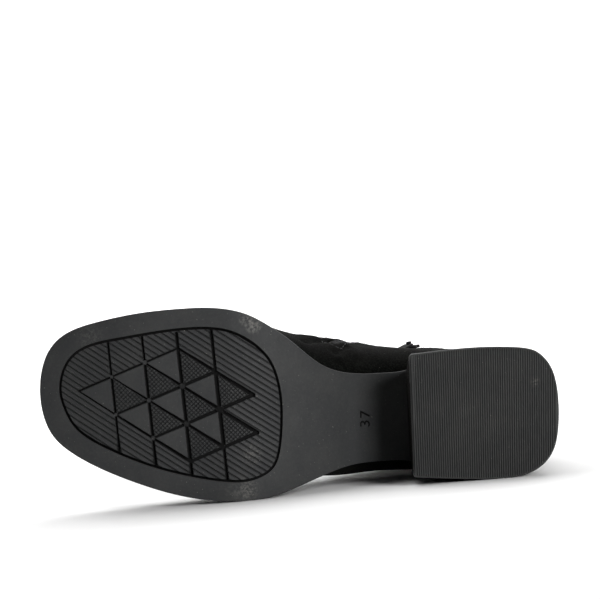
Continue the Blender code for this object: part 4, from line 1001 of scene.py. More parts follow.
class BOOT_OT_heel(bpy.types.Operator):
    """Makes the covered heel block and the ribbed top piece under it"""

    bl_idname = "boot.heel"
    bl_label = "Heel"

    def execute(self, context):
        self.block()
        self.top_piece()
        return {"FINISHED"}

    def block(self):
        shares = heel_shares(110)
        bottom = TOP_PIECE_THICKNESS + CLEARANCE
        rings = []
        for up, inset, lift in BLOCK_LEVELS:
            ring = []
            for sign in (1, -1):
                x, y = heel_side(shares, sign, inset / 1000, up**TAPER)
                z = bottom + up * (sole_underside(x) - CLEARANCE * 0.5 - bottom) + lift / 1000
                ring.append(np.column_stack([x, y, z]))
            rings.append(ring)
        new_piece("heel_covering", *lofted(rings), "covering", "heel_covering", ["heel_block"], 45)

    def top_piece(self):
        tread = bpy.context.scene.boot_tread
        per_rib = 6
        count = int(round(HEEL_LENGTH / tread.heel_rib_pitch)) * per_rib
        shares = np.unique(np.concatenate([np.linspace(0.0, 1.0, count + 1), np.linspace(0.0, 0.004, 9)]))
        rim = tread.heel_rim
        place = (1 - shares) * HEEL_LENGTH
        far = HEEL_LENGTH - rim
        inside = ramp(rim, rim + RIM_SLOPE, place) * ramp(far, far - RIM_SLOPE, place)
        wave = np.abs(((place - rim) / tread.heel_rib_pitch + FIRST_RIB) % 1.0 - 0.5) * 2
        relief = tread.heel_rib_depth * ramp(CUT_STARTS, CUT_FULL, wave) * inside
        rings = []
        for inset, height in TOP_PIECE_LEVELS:
            ring = []
            for sign in (1, -1):
                x, y = heel_side(shares, sign, inset / 1000)
                ring.append(np.column_stack([x, y, np.full(len(x), height / 1000)]))
            rings.append(ring)
        rows = len(shares)
        columns = []
        for sign, inset in ((1, rim), (1, rim + RIM_SLOPE), (-1, rim + RIM_SLOPE), (-1, rim)):
            x, y = heel_side(shares, sign, inset)
            columns.append(np.column_stack([x, y, (inset > rim) * relief]))
        inner_medial, inner_lateral = columns[1], columns[2]
        middle = [inner_medial + (inner_lateral - inner_medial) * t for t in np.linspace(0.0, 1.0, 9)]
        face = [rings[-1][0], columns[0], *middle, columns[3], rings[-1][1]]
        vertices, faces = lofted(rings)
        faces = faces[: -(rows - 1)]  # the walking face is the ribbed one instead of the flat one
        start = len(vertices)
        grid = np.stack(face, axis=1)
        vertices = list(vertices) + list(grid.reshape(-1, 3))
        faces = [tuple(f) for f in faces] + grid_faces(rows, grid.shape[1], start)
        made = new_piece(
            "heel_top_piece_ribbed", vertices, faces, "heel", "top_piece_rubber", ["heel_top_piece"], 40)
        x, y, z = boot_places(made.data).T
        # past the ends of the ribs these give places on the wrong side, so nothing counts as ribbed there
        medial = np.interp(x, *columns[0][:, :2].T, left=-1.0, right=-1.0)
        lateral = np.interp(x, *columns[3][:, :2].T, left=1.0, right=1.0)
        ribbed = (y < medial) & (y > lateral) & (z < RIBS_BELOW)
        # the cuts between the heel's ribs get painted shade, darker where they are deeper
        mark_depth(made, np.where(ribbed, z / tread.heel_rib_depth * HEEL_PAINTED_SHADE, 0.0))


# Upper

def upper_sections():
    """Every section of the upper in metres, from the toe to the collar."""
    rows = []
    vamp = VAMP_SECTIONS
    feather = set_in(OUTSOLE_EDGE, FEATHER_SET_IN)
    for k, base in enumerate(vamp["base"]):
        foot = float(sole_top(sole_x(base))) + CLEARANCE
        _, medial, lateral = feather(base)
        rows.append(dict(
            base=base, ridge_x=sole_x(vamp["ridge"][k]) + FEATHER_SET_IN * (1 - 2 * vamp["ridge"][k]),
            ridge_z=foot + vamp["rise"][k] * INSTEP_HEIGHT, over=vamp["over"][k] * BALL_WIDTH,
            medial=float(medial) + vamp["medial"][k] * BALL_WIDTH,
            lateral=-float(lateral) + vamp["lateral"][k] * BALL_WIDTH,
            widest=vamp["widest"][k], crown=vamp["crown"][k], flare=vamp["flare"][k]))
    instep_x, instep_z = rows[-1]["ridge_x"], rows[-1]["ridge_z"]
    collar_x = SEAT_BACK + FEATHER_SET_IN + (SHAFT_SECTIONS["back"][-1] + 1) * COLLAR_LENGTH
    collar_z = float(sole_top(SEAT_BACK)) + SHAFT_HEIGHT * (1 - COLLAR_FRONT_DROP)
    for part in (ANKLE_SECTIONS, SHAFT_SECTIONS):
        for k, forward in enumerate(part["forward"]):
            rows.append(dict(
                base=part["base"][k] if "base" in part else 0.0,
                ridge_x=instep_x + forward * (collar_x - instep_x),
                ridge_z=instep_z + part["up"][k] * (collar_z - instep_z),
                over=part["over"][k] * BALL_WIDTH if "over" in part else 0.0,
                medial=part["medial"][k] * COLLAR_WIDTH, lateral=part["lateral"][k] * COLLAR_WIDTH,
                widest=part["widest"][k], crown=part["crown"][k], flare=part["flare"][k]))
    return rows


def section_curves():
    """A function that gives the section at any place, the place of the last open one, and the last place."""
    rows = upper_sections()
    numbers = range(len(rows))
    names = ("ridge_x", "ridge_z", "over", "medial", "lateral", "widest", "crown", "flare")
    curves = {name: spline(numbers, [row[name] for row in rows]) for name in names}
    open_count = len(VAMP_SECTIONS["base"]) + len(ANKLE_SECTIONS["base"])
    turns = spline(range(open_count), [float(around(rows[i]["base"])) for i in range(open_count)])
    feather = set_in(OUTSOLE_EDGE, FEATHER_SET_IN)
    seat = float(sole_top(SEAT_BACK)) + CLEARANCE
    heel_back = SEAT_BACK + FEATHER_SET_IN
    numbers = range(open_count - 1, len(rows))
    back_x = spline(numbers, [heel_back + back * COLLAR_LENGTH for back in [0.0] + SHAFT_SECTIONS["back"]])
    back_z = spline(numbers, [seat + height * SHAFT_HEIGHT for height in [0.0] + SHAFT_SECTIONS["height"]])

    def at(place):
        found = {name: float(curve(place)) for name, curve in curves.items()}
        if place < open_count - 1:
            share = (1 - math.cos(min(max(float(turns(place)), 0.0), math.pi))) / 2
            x, medial, lateral = (float(v) for v in feather(share))
            found.update(base=(x, float(sole_top(x)) + CLEARANCE), feather=(medial, lateral))
        else:
            found.update(base=(float(back_x(place)), float(back_z(place))), feather=(0.0, 0.0))
        return found

    return at, open_count - 1, len(rows) - 1


def half_section(found, sign, columns):
    """Points of one side of a section, from the feather edge to the ridge, evenly spaced along the curve."""
    feather = found["feather"][0 if sign > 0 else 1]
    widest = sign * found["medial" if sign > 0 else "lateral"]
    turn = np.linspace(0.0, math.pi, 121)
    low = turn < math.pi / 2
    cosine, sine = np.cos(turn), np.maximum(np.sin(turn), 0.0)
    low_cosine, high_cosine = np.where(low, cosine, 0.0), np.maximum(np.where(low, 0.0, -cosine), 0.0)
    level = found["widest"]
    above = level + (1 - level) * high_cosine ** (2 / found["crown"])
    height = np.where(low, level * (1 - low_cosine), above)
    low_y = feather + (widest - feather) * (1 - low_cosine**2) ** (1 / found["flare"])
    high_y = found["over"] + (widest - found["over"]) * sine ** (2 / found["crown"])
    x = found["base"][0] + height * (found["ridge_x"] - found["base"][0])
    z = found["base"][1] + height * (found["ridge_z"] - found["base"][1])
    fine = np.column_stack([x, np.where(low, low_y, high_y), z])
    run = way_along(fine)
    even = np.linspace(0.0, run[-1], columns + 1)
    return np.column_stack([np.interp(even, run, fine[:, axis]) for axis in range(3)])


def grid_normals(grid, closed_from):
    """Outward normals of the grid by central differences, with the closed rows wrapped round."""
    down, along = np.gradient(grid, axis=0), np.gradient(grid, axis=1)
    wrap = grid[closed_from:, 1] - grid[closed_from:, -2]
    along[closed_from:, 0] = along[closed_from:, -1] = wrap / 2
    normals = np.cross(along, down)
    normals = normals / np.maximum(np.linalg.norm(normals, axis=2, keepdims=True), 1e-12)
    return -normals if normals[-1, grid.shape[1] // 2, 0] < 0 else normals


FOLD_STEP = 0.0008  # step of the places along a fold
FOLD_FADE = 0.25  # share of its run over which a fold fades at each end
FOLD_LEFT = 0.06  # how much of that share is still to fade where the run ends


def fold_depths(points, folds):
    """How far each point is pressed in by folds, each a soft trough or ridge along a run of points."""
    pressed = np.zeros(points.shape[:-1])
    for fold in folds:
        flat = points.reshape(-1, 3)
        places = [np.linalg.norm(flat - np.array(place) / 1000, axis=1).argmin() for place in fold["run"]]
        places = flat[places]
        run = way_along(places)
        even = np.linspace(0.0, run[-1], max(int(run[-1] / FOLD_STEP), 2))
        smooth = np.column_stack([spline(run, places[:, axis])(even) for axis in range(3)])
        nearest = np.full(points.shape[:-1], 1e9)
        share = np.zeros(points.shape[:-1])
        for k, place in enumerate(smooth):
            distance = np.linalg.norm(points - place, axis=-1)
            closer = distance < nearest
            nearest = np.where(closer, distance, nearest)
            share = np.where(closer, k / (len(smooth) - 1), share)
        ends = ramp(0.0, FOLD_FADE, share + FOLD_LEFT) * ramp(0.0, FOLD_FADE, 1 + FOLD_LEFT - share)
        width = fold["width"] / 1000
        pressed += fold["depth"] / 1000 * ends * np.exp(-((nearest / width) ** 2))
    return pressed


HELD_COLUMNS = 6


@cache
def upper_surface():
    """Outer points of the upper with its folds, their outward normals, and the first closed row."""
    rows, columns = ((200, 64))
    at, last_open, last = section_curves()
    places = np.linspace(0.0, last, rows + 1)
    closed_from = int(np.argmin(np.abs(places - last_open)))
    places[closed_from] = last_open
    outer = []
    for place in places:
        found = at(place)
        medial, lateral = half_section(found, 1, columns), half_section(found, -1, columns)
        outer.append(np.concatenate([medial, lateral[-2::-1]]))
    outer = joined(np.array(outer), closed_from)
    pressed = fold_depths(outer, FOLDS)
    pucker = zip_pucker(outer)
    # the columns next to the feather edge stay as they are, so that the upper keeps meeting the sole
    free = np.clip(np.arange(outer.shape[1]) / HELD_COLUMNS, 0.0, 1.0)
    free = np.minimum(free, free[::-1])[None, :]
    hold = np.where(np.arange(rows + 1)[:, None] < closed_from, free, 1.0)
    seams = fold_depths(outer, SEAMS)
    depth = ((pressed + pucker + seams) * hold)[:, :, None]
    outer = joined(outer - grid_normals(outer, closed_from) * depth, closed_from)
    return outer, grid_normals(outer, closed_from), closed_from


def joined(grid, closed_from):
    """The upper's grid with its closed rows joined at the back, and its first row drawn to one point."""
    grid[closed_from:, -1] = grid[closed_from:, 0]
    grid[0, :] = grid[0].mean(axis=0)
    return grid


# Waves beside the zip: their step, the length over which that step drifts, and their depth. Then the welt
# where the suede is turned in at the slot: its height, its distance from the zip's middle and its width.
PUCKER_STEP, PUCKER_DRIFT, PUCKER_DEPTH = 0.0085, 0.021, 0.00022
WELT_HEIGHT, WELT_ASIDE, WELT_WIDTH = 0.00035, 0.0044, 0.0016


def zip_pucker(points):
    """Small waves that the zip's stitching draws into the suede beside the slot, and the welt at its edge."""
    low, top, line = zip_ends()
    x, z = points[..., 0] - low.x, points[..., 2] - low.y
    along = x * line.x + z * line.y
    aside = np.abs(x * line.y - z * line.x)
    medial = ramp(0.0, 0.01, points[..., 1])
    length = (top - low).length
    reach = ramp(-0.012, 0.004, along) * ramp(length + 0.002, length - 0.010, along)
    beside = ramp(0.002, 0.0045, aside) * ramp(0.016, 0.0065, aside)
    wave = np.sin(along / PUCKER_STEP * 2 * math.pi + 2.1 * np.sin(along / PUCKER_DRIFT * 2 * math.pi))
    welt = -WELT_HEIGHT * np.exp(-(((aside - WELT_ASIDE) / WELT_WIDTH) ** 2))
    return medial * reach * (PUCKER_DEPTH * beside * wave + welt)


RIM_ROUNDNESS = 0.6  # how far the collar's edge bulges, as a share of half its thickness


def shell(outer, normals, closed_from, near_side, far_side):
    """Closed body between two depths under the outer points, open at the collar and underneath."""
    layers = []
    for depth in (near_side, far_side):
        layer = outer - depth * normals
        for row in range(1, closed_from):
            for end in (0, -1):
                flat = normals[row, end] * (1, 1, 0)
                layer[row, end] = outer[row, end] - depth * flat / np.linalg.norm(flat)
        layer[0, :] = outer[0, 0] - (depth, 0, 0)
        layer[closed_from, 0] = outer[closed_from, 0] + (depth, 0, 0)
        layer[closed_from:, -1] = layer[closed_from:, 0]
        layer[-1, :, 2] = outer[-1, :, 2]
        layers.append(layer)
    rows, columns = outer.shape[:2]
    inside = rows * columns
    faces = grid_faces(rows, columns) + [face[::-1] for face in grid_faces(rows, columns, inside)]
    for i in range(closed_from):
        for j in (0, columns - 1):
            a, b = i * columns + j, (i + 1) * columns + j
            faces.append((a, b, inside + b, inside + a))
    top = (rows - 1) * columns
    # the collar's edge is rounded over
    half = (far_side - near_side) / 2
    middle = (layers[0][-1] + layers[1][-1]) / 2
    rims = []
    for turn in (0.25, 0.5, 0.75):
        rim = middle + (layers[0][-1] - middle) * math.cos(math.pi * turn)
        rim[:, 2] += half * math.sin(math.pi * turn) * RIM_ROUNDNESS
        rims.append(rim)
    vertices = np.concatenate([layers[0].reshape(-1, 3), layers[1].reshape(-1, 3), *rims])
    starts = [top, *(2 * inside + k * columns for k in range(3)), inside + top]
    for a, b in zip(starts, starts[1:]):
        faces += [(a + j, a + j + 1, b + j + 1, b + j) for j in range(columns - 1)]
    return vertices, faces


def zip_ends():
    """Both ends of the zip's line seen from the medial side, and the way from the lower to the upper."""
    seat = float(sole_top(SEAT_BACK))
    low, top = (Vector((sole_x(x), seat + z * SHAFT_HEIGHT)) for x, z in (ZIP_LOW, ZIP_TOP))
    return low, top, (top - low).normalized()


def zip_place(share, aside=0.0):
    """A place on the zip's line, or aside metres across it."""
    low, top, line = zip_ends()
    return low.lerp(top, share) + Vector((line.y, -line.x)) * aside


def zip_slot_cutter(half):
    """Cutter for the zip's slot: through the medial wall only, with a round lower end, past the collar."""
    line = zip_ends()[2]
    past_collar, steps = 1.6, 12
    edge = [zip_place(share, aside) for share, aside in (
        (0.0, half), (past_collar, half), (past_collar, -half), (0.0, -half))]
    for k in range(1, steps):
        turn = math.pi * k / steps
        edge.append(zip_place(0.0, -half * math.cos(turn)) - line * half * math.sin(turn))
    near_y, far_y = BALL_WIDTH * 0.1, BALL_WIDTH
    count = len(edge)
    vertices = [(p.x, near_y, p.y) for p in edge] + [(p.x, far_y, p.y) for p in edge]
    faces = [tuple(range(count)), tuple(range(2 * count - 1, count - 1, -1))]
    faces += [(i, (i + 1) % count, count + (i + 1) % count, count + i) for i in range(count)]
    return boot_body("zip_slot_cutter", vertices, faces)


class BOOT_OT_upper(bpy.types.Operator):
    """Makes the suede upper and its lining, open at the collar and slit for the zip"""

    bl_idname = "boot.upper"
    bl_label = "Upper and lining"

    def execute(self, context):
        outer, normals, closed_from = upper_surface()
        suede = shell(outer, normals, closed_from, 0.0, OUTER_THICKNESS)
        upper = new_piece("suede_upper", *suede, "suede", "suede", ["upper"], 50)
        cut_away(upper, [zip_slot_cutter(ZIP_SLOT_WIDTH / 2)])
        inner = shell(outer, normals, closed_from, LINING_DEPTH, UPPER_WALL)
        lining = new_piece("lining", *inner, "lining", "insole_leather", ["upper"], 50)
        cut_away(lining, [zip_slot_cutter(ZIP_SLOT_WIDTH / 2 + LINING_SET_BACK)])
        for piece in (upper, lining):
            shade(piece, 50)
        return {"FINISHED"}


def medial_tree(depth=0.0):
    """The upper's surface at a depth, to find places on it from the medial side."""
    outer, normals, _ = upper_surface()
    grid = outer - depth * normals
    rows, columns = grid.shape[:2]
    kept = grid_faces(rows, columns)[columns - 1 :]
    return BVHTree.FromPolygons([tuple(v) for v in grid.reshape(-1, 3)], kept)


def medial_hit(tree, place):
    """Where a line from the medial side first meets the surface, and the surface's outward normal there."""
    point, normal, _, _ = tree.ray_cast(Vector((place.x, BALL_WIDTH, place.y)), Vector((0, -1, 0)))
    return point, normal if normal.y > 0 else -normal


def laid_on(tree, places, lift):
    """The points of the surface beyond places on the zip's plane, lifted along its normals."""
    hits = (medial_hit(tree, place) for place in places)
    return [point + normal * lift for point, normal in hits]


@cache
def run_of_bits_tree():
    """Geometry Nodes that lay rounded bits at even steps along a curve, each with one side facing out."""
    tree = bpy.data.node_groups.new("run_of_bits", "GeometryNodeTree")
    face = tree.interface
    face.new_socket("Curve", in_out="INPUT", socket_type="NodeSocketGeometry")
    for name, kind in (("Step", "Float"), ("Size", "Vector"), ("Out", "Vector"), ("Finish", "Material")):
        face.new_socket(name, in_out="INPUT", socket_type="NodeSocket" + kind)
    face.new_socket("Bits", in_out="OUTPUT", socket_type="NodeSocketGeometry")
    start = tree.nodes.new("NodeGroupInput")
    end = tree.nodes.new("NodeGroupOutput")
    curve, step, size, out, finish = (start.outputs[n] for n in ("Curve", "Step", "Size", "Out", "Finish"))
    points = add(tree, "GeometryNodeResampleCurve", {"mode": "LENGTH"}, {"Curve": curve, "Length": step})
    ball = add(tree, "GeometryNodeMeshIcoSphere", {}, {"Radius": 0.5, "Subdivisions": 2})
    bit = add(tree, "GeometryNodeTransform", {}, {"Geometry": ball, "Scale": size})
    tangent = add(tree, "GeometryNodeInputTangent", {}, {})
    turn = add(tree, "FunctionNodeAlignRotationToVector", {"axis": "X"}, {"Vector": tangent})
    facing = {"Rotation": turn, "Vector": out}
    turn = add(tree, "FunctionNodeAlignRotationToVector", {"axis": "Z", "pivot_axis": "X"}, facing)
    places = {"Points": points, "Instance": bit, "Rotation": turn}
    laid = add(tree, "GeometryNodeInstanceOnPoints", {}, places)
    real = add(tree, "GeometryNodeRealizeInstances", {}, {"Geometry": laid})
    smooth = add(tree, "GeometryNodeSetShadeSmooth", {}, {"Geometry": real})
    done = add(tree, "GeometryNodeSetMaterial", {}, {"Geometry": smooth, "Material": finish})
    tree.links.new(done, end.inputs["Bits"])
    return tree


def run_of_bits(name, runs, step, size, out, finish, replaces=()):
    """Stitches or teeth along runs of points given in the boot's frame, as one mesh piece."""
    tree = run_of_bits_tree()
    curve = bpy.data.curves.new(name, "CURVE")
    curve.dimensions = "3D"
    for run in runs:
        line = curve.splines.new("POLY")
        line.points.add(len(run) - 1)
        for point, place in zip(line.points, run):
            point.co = (*(BOOT_TO_ROW @ Vector(place)), 1.0)
    path = linked(name + "_path", curve)
    nodes = path.modifiers.new("bits", "NODES")
    nodes.node_group = tree
    values = {"Step": step, "Size": size, "Out": tuple(BOOT_TO_ROW.to_3x3() @ Vector(out)), "Finish": finish}
    for socket in tree.interface.items_tree:
        if socket.in_out == "INPUT" and socket.name in values:
            nodes[socket.identifier] = values[socket.name]
    bpy.context.view_layer.update()
    mesh = evaluated_mesh(path)
    bpy.data.objects.remove(path, do_unlink=True)
    return settle(linked(name, mesh), finish, "boot", replaces)


# Teeth: how far their middle lies beside the zip's as a share of their width, their length as a share of the
# step, their height, and how far they and the spine between them lie under the suede's surface
TOOTH_ASIDE, TOOTH_LENGTH, TOOTH_HEIGHT = 0.42, 0.62, 0.0016
TEETH_SUNK, SPINE_SUNK = 0.0011, 0.00125
SPINE_STEP, SPINE_BIT = 0.0007, (0.0016, 0.0021, 0.0009)
# Stitches: shares of the zip's length between which its rows run, how long the round end of the rows is for
# its width, and how far the thread lies over the suede
ROWS_FROM, ROWS_TO = -0.02, 0.975
ROW_END_LENGTH = 0.7
THREAD_LIFT = 0.00002
ROWS_APART = 0.001  # space between the collar's row and those of the zip


class BOOT_OT_zip(bpy.types.Operator):
    """Makes the zip's tape and its two rows of teeth, and finishes the slider and the pull tab"""

    bl_idname = "boot.zip"
    bl_label = "Zip"

    def execute(self, context):
        zip_sizes = bpy.context.scene.boot_zip
        inner, outer = medial_tree(UPPER_WALL), medial_tree()
        stations, columns = 90, 13
        vertices = []
        for depth in (TAPE_BEHIND_WALL, TAPE_BEHIND_WALL + ZIP_TAPE_THICKNESS):
            for i in range(stations + 1):
                for j in range(columns):
                    aside = ZIP_TAPE_WIDTH * (j / (columns - 1) - 0.5)
                    low, top = zip_place(0.0, aside), zip_place(1.0, aside)
                    level_end = 1 + (zip_place(1.0).y - top.y) / (top.y - low.y)
                    share = TAPE_BELOW_ZIP + (level_end - TAPE_BELOW_ZIP) * i / stations
                    point, _ = medial_hit(inner, zip_place(share, aside))
                    vertices.append((point.x, point.y - depth, point.z))
        rows = stations + 1
        under = rows * columns
        faces = grid_faces(rows, columns) + [face[::-1] for face in grid_faces(rows, columns, under)]
        edge = list(range(columns)) + [i * columns + columns - 1 for i in range(1, rows)]
        edge += [(rows - 1) * columns + j for j in range(columns - 2, -1, -1)]
        edge += [i * columns for i in range(rows - 2, 0, -1)]
        faces += [(a, b, under + b, under + a) for a, b in zip(edge, edge[1:] + edge[:1])]
        new_piece("zip_tape_woven", vertices, faces, "tape", "zip_cloth", ["zip_tape"], 50)

        # the chain: a spine of nylon with a row of teeth on each side, half a step apart
        step = zip_sizes.tooth_pitch
        half_step = step / 2 / (zip_place(1.0) - zip_place(0.0)).length
        out, nylon = Vector((0, 1, 0)), material("nylon")
        rows_of_teeth = []
        for side, start in ((1, half_step), (-1, 0.0)):
            aside = side * zip_sizes.tooth_width * TOOTH_ASIDE
            places = [zip_place(min(k / 199 + start, 1.0), aside) for k in range(200)]
            rows_of_teeth.append(laid_on(outer, places, -TEETH_SUNK))
        size = (step * TOOTH_LENGTH, zip_sizes.tooth_width, TOOTH_HEIGHT)
        run_of_bits("zip_teeth", rows_of_teeth, step, size, out, nylon, ["zip_chain"])
        spine = laid_on(outer, [zip_place(k / 159) for k in range(160)], -SPINE_SUNK)
        run_of_bits("zip_spine", [spine], SPINE_STEP, SPINE_BIT, out, nylon, ["zip_chain"])

        for node in ("zip_slider", "zip_pull"):
            dress(frame["nodes"][node], material("metal"))
        return {"FINISHED"}


class BOOT_OT_stitches(bpy.types.Operator):
    """Sews the zip in, and runs a row of stitches below the collar"""

    bl_idname = "boot.stitches"
    bl_label = "Stitches"

    def execute(self, context):
        sewing = bpy.context.scene.boot_sewing
        outer = medial_tree()
        size = (sewing.stitch_length, sewing.thread_width, sewing.thread_width)
        runs = []
        for aside in (-sewing.zip_row, sewing.zip_row):
            places = [zip_place(ROWS_FROM + (ROWS_TO - ROWS_FROM) * k / 199, aside) for k in range(200)]
            runs.append(laid_on(outer, places, THREAD_LIFT))
        line = zip_ends()[2]
        places = []
        for turn in np.linspace(0.0, math.pi, 41):
            place = zip_place(ROWS_FROM, -sewing.zip_row * math.cos(turn))
            places.append(place - line * sewing.zip_row * ROW_END_LENGTH * math.sin(turn))
        runs.append(laid_on(outer, places, THREAD_LIFT))
        step, thread = sewing.stitch_length + sewing.stitch_gap, material("thread")
        run_of_bits("zip_stitches", runs, step, size, (0, 1, 0), thread, ["upper"])
        runs = self.collar_runs(sewing)
        run_of_bits("collar_stitches", runs, step, size, (0, 0, 1), thread, ["upper"])
        return {"FINISHED"}

    def collar_runs(self, sewing):
        """A row all round below the collar, but for the zip's slot."""
        points, normals = upper_surface()[:2]
        run = []
        for j in range(points.shape[1]):
            column, out = points[::-1, j], normals[::-1, j]
            fall = way_along(column)
            place = [np.interp(sewing.collar_row, fall, column[:, axis]) for axis in range(3)]
            lift = [np.interp(sewing.collar_row, fall, out[:, axis]) for axis in range(3)]
            run.append(np.array(place) + THREAD_LIFT * np.array(lift))
        low, _, line = zip_ends()
        runs, current = [], []
        for place in run:
            aside = abs((place[0] - low.x) * line.y - (place[2] - low.y) * line.x)
            if place[1] > 0 and aside < sewing.zip_row + ROWS_APART:
                if len(current) > 1:
                    runs.append(current)
                current = []
            else:
                current.append(place)
        runs.append(current)
        return runs


class BOOT_OT_insole(bpy.types.Operator):
    """Finishes the insole that shows through the collar"""

    bl_idname = "boot.insole"
    bl_label = "Insole"

    def execute(self, context):
        dress(frame["nodes"]["insole"], material("insole"))
        return {"FINISHED"}


# Stage

# Each light's place, what it faces, the size of its box and the setting that holds its power
LIGHTS = {
    "overhead_softbox": ((-0.10, 0.45, 1.25), (0.0, 0.10, 0.0), (2.2, 1.1), "overhead_power"),
    "key_softbox": ((1.30, -1.95, 0.75), (0.0, -0.05, 0.05), (0.95, 0.95), "key_power"),
    "front_softbox": ((0.70, -1.90, 0.35), (0.0, -0.05, 0.05), (0.9, 0.9), "front_power"),
    "backdrop_light": ((0.0, 1.25, 1.6), (0.0, 2.3, 0.40), (3.0, 0.8), "backdrop_power"),
}


def stage_material(hex_colour):
    """Matt paper sweep, faintly uneven so that it isn't a perfect white."""
    made, tree, shader, place = new_material("paper_sweep")
    uneven = stretched(tree, grain(tree, place, 120.0), 0.3, 0.7, 0.0, 0.25)
    tree.links.new(mixed(tree, uneven, linear(hex_colour), linear("#f2f1ef")), shader.inputs["Base Color"])
    shader.inputs["Roughness"].default_value = 0.9
    shader.inputs["Specular IOR Level"].default_value = 0.1
    return made


class BOOT_OT_stage(bpy.types.Operator):
    """Lays the floor with its curved backdrop, hangs the lights and sets the camera under the sole"""

    bl_idname = "boot.stage"
    bl_label = "Floor, lights and camera"

    def execute(self, context):
        scene = context.scene
        stage = scene.boot_stage
        self.sweep(stage)
        world = bpy.data.worlds.new("studio")
        world.use_nodes = True
        back = world.node_tree.nodes["Background"]
        back.inputs["Color"].default_value = linear("#ffffff")
        back.inputs["Strength"].default_value = stage.ambient
        scene.world = world
        scene.view_settings.view_transform = "Standard"
        scene.view_settings.look = "None"
        for name, (place, aim, size, power) in LIGHTS.items():
            self.lamp(name, place, aim, size, getattr(stage, power))
        lens = bpy.data.cameras.new("camera")
        lens.sensor_width = 36.0
        lens.lens = stage.lens
        lens.clip_start, lens.clip_end = 0.05, 20.0
        camera = linked("camera", lens)
        # the camera looks straight at the walking plane; up in the picture is the medial side
        turn = Matrix(((-1, 0, 0), (0, 1, 0), (0, 0, -1))).to_4x4()
        place = Matrix.Translation((stage.aim_along, stage.aim_across, -stage.distance))
        camera.matrix_world = BOOT_TO_ROW @ place @ turn
        scene.camera = camera
        return {"FINISHED"}

    def sweep(self, stage):
        """Floor that curves up into a backdrop behind the boot."""
        width, front, back, radius, height = 3.0, -3.2, 2.2, 0.6, 2.6
        profile = [(front, 0.0), (-0.4, 0.0), (0.3, 0.0), (back - radius, 0.0)]
        for turn in quarter_turns(16)[1:]:
            profile.append((back - radius + radius * math.sin(turn), radius - radius * math.cos(turn)))
        profile.append((back, height))
        vertices = [(x, y, z) for y, z in profile for x in (-width, width)]
        faces = [(2 * i, 2 * i + 1, 2 * i + 3, 2 * i + 2) for i in range(len(profile) - 1)]
        mesh = bpy.data.meshes.new("paper_sweep")
        mesh.from_pydata(vertices, [], faces)
        mesh.shade_smooth()
        mesh.materials.append(stage_material(stage.paper_colour))
        floor = linked("paper_sweep", mesh)

    def lamp(self, name, place, aim, size, power):
        data = bpy.data.lights.new(name, "AREA")
        data.shape = "RECTANGLE"
        data.size, data.size_y = size
        data.energy = power
        made = linked(name, data)
        made.location = place
        made.rotation_euler = (Vector(aim) - Vector(place)).to_track_quat("-Z", "Y").to_euler()


def number(name, description, default, **more):
    return bpy.props.FloatProperty(name=name, description=description, default=default, **more)


def metres(name, description, default):
    return number(name, description, default, unit="LENGTH", precision=5)


def watts(name, description, default):
    return number(name, description, default, unit="POWER")


def words(name, description, default):
    return bpy.props.StringProperty(name=name, description=description, default=default)


class BootTread(bpy.types.PropertyGroup):
    """Sizes of the tread and of the heel's ribs."""

    rib_pitch: metres("Rib pitch", "Step of the diagonal ribs, square across them", 0.0025)
    rib_groove_share: number("Rib groove", "Share of the step that is groove", 0.45, subtype="FACTOR")
    rib_depth: metres("Rib depth", "Depth of the cuts between the diagonal ribs", 0.0007)
    chequer_pitch: metres("Chequer pitch", "Step of the small studs", 0.0015)
    chequer_depth: metres("Chequer depth", "Depth of the cuts between the studs", 0.0007)
    groove_depth: metres("Groove depth", "Depth of the straight grooves of the lattice", 0.0018)
    heel_rib_pitch: metres("Heel rib pitch", "Step of the fine ribs under the heel", 0.00111)
    heel_rib_depth: metres("Heel rib depth", "Depth of the fine ribs under the heel", 0.00035)
    heel_rim: metres("Heel rim", "Plain rim round the ribs of the heel", 0.0006)
    size_mark: words("Size mark", "Plain size number in the waist", "37")
    size_mark_height: metres("Size mark height", "Height of the figures of the size number", 0.0060)


class BootSewing(bpy.types.PropertyGroup):
    """Sizes of the stitches."""

    stitch_length: metres("Stitch length", "Length of one stitch", 0.0022)
    stitch_gap: metres("Stitch gap", "Gap between two stitches", 0.0007)
    thread_width: metres("Thread width", "Width of the thread", 0.0004)
    zip_row: metres("Zip row", "Distance of the zip's rows from its middle", 0.0052)
    collar_row: metres("Collar row", "Distance of the collar's row below its edge", 0.0035)


class BootZip(bpy.types.PropertyGroup):
    """Sizes of the zip."""

    tooth_pitch: metres("Tooth pitch", "Step of the teeth on one side", 0.0013)
    tooth_width: metres("Tooth width", "Reach of one tooth across the zip", 0.0024)


class BootFinish(bpy.types.PropertyGroup):
    """Colours of the finishes, as sRGB hex values."""

    rubber_colour: words("Rubber", "Colour of the outsole", "#242526")
    heel_rubber_colour: words("Top piece", "Colour of the heel's top piece", "#292a2a")
    suede_colour: words("Suede", "Colour of the suede in its folds", "#030403")
    nap_colour: words("Nap", "Colour of the suede where its nap catches light", "#0a0b09")
    lining_colour: words("Lining", "Colour of the lining leather", "#2a2420")


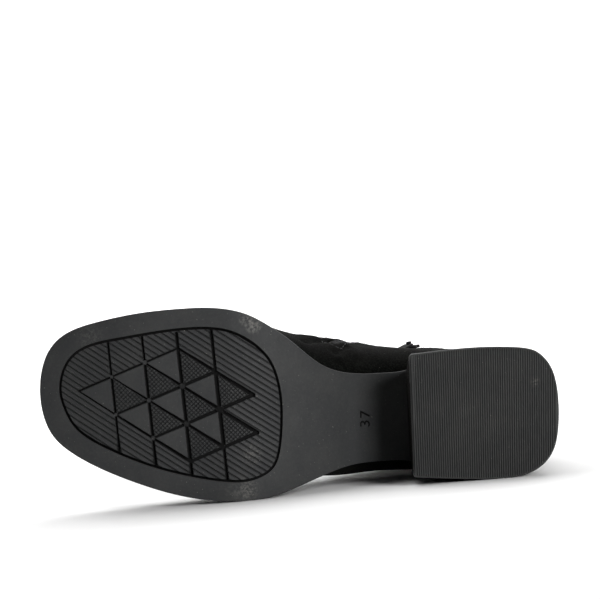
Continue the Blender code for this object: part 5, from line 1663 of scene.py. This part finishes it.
class BootStage(bpy.types.PropertyGroup):
    """Camera and lights."""

    distance: metres("Camera distance", "From the camera to the walking plane", 1.2)
    aim_along: metres("Aim along", "Place along the boot that the camera faces", 0.12476)
    aim_across: metres("Aim across", "Place across the boot that the camera faces", 0.05424)
    lens: number("Lens", "Focal length in millimetres", 149.5)
    ambient: number("Ambient", "Strength of the light from all round", 0.015)
    key_power: watts("Key", "Power of the key light", 56.0)
    front_power: watts("Front", "Power of the light behind the camera", 0.5)
    overhead_power: watts("Overhead", "Power of the overhead light", 22.0)
    backdrop_power: watts("Backdrop", "Power of the backdrop light", 50.0)
    paper_colour: words("Paper", "Colour of the paper sweep", "#fafafa")


MAKERS = [BOOT_OT_outsole, BOOT_OT_tread, BOOT_OT_heel, BOOT_OT_upper, BOOT_OT_zip, BOOT_OT_stitches,
          BOOT_OT_insole, BOOT_OT_stage]
GROUPS = {"boot_tread": BootTread, "boot_sewing": BootSewing, "boot_zip": BootZip, "boot_finish": BootFinish,
          "boot_stage": BootStage}


class BOOT_PT_panel(bpy.types.Panel):
    """Lists what makes the boot"""

    bl_idname = "BOOT_PT_panel"
    bl_label = "Ankle boot"
    bl_space_type = "VIEW_3D"
    bl_region_type = "UI"
    bl_category = "Boot"

    def draw(self, context):
        for maker in MAKERS:
            self.layout.operator(maker.bl_idname)
        for group in GROUPS:
            settings = getattr(context.scene, group)
            for name in settings.bl_rna.properties.keys():
                if name not in ("rna_type", "name"):
                    self.layout.prop(settings, name)


def register():
    for kind in [*GROUPS.values(), *MAKERS, BOOT_PT_panel]:
        bpy.utils.register_class(kind)
    for name, kind in GROUPS.items():
        setattr(bpy.types.Scene, name, bpy.props.PointerProperty(type=kind))


def unregister():
    for name in GROUPS:
        delattr(bpy.types.Scene, name)
    for kind in reversed([*GROUPS.values(), *MAKERS, BOOT_PT_panel]):
        bpy.utils.unregister_class(kind)


def main():
    register()
    bpy.ops.boot.outsole()
    bpy.ops.boot.tread()
    bpy.ops.boot.heel()
    bpy.ops.boot.upper()
    bpy.ops.boot.zip()
    bpy.ops.boot.stitches()
    bpy.ops.boot.insole()
    bpy.ops.boot.stage()


if __name__ == "__main__":
    main()
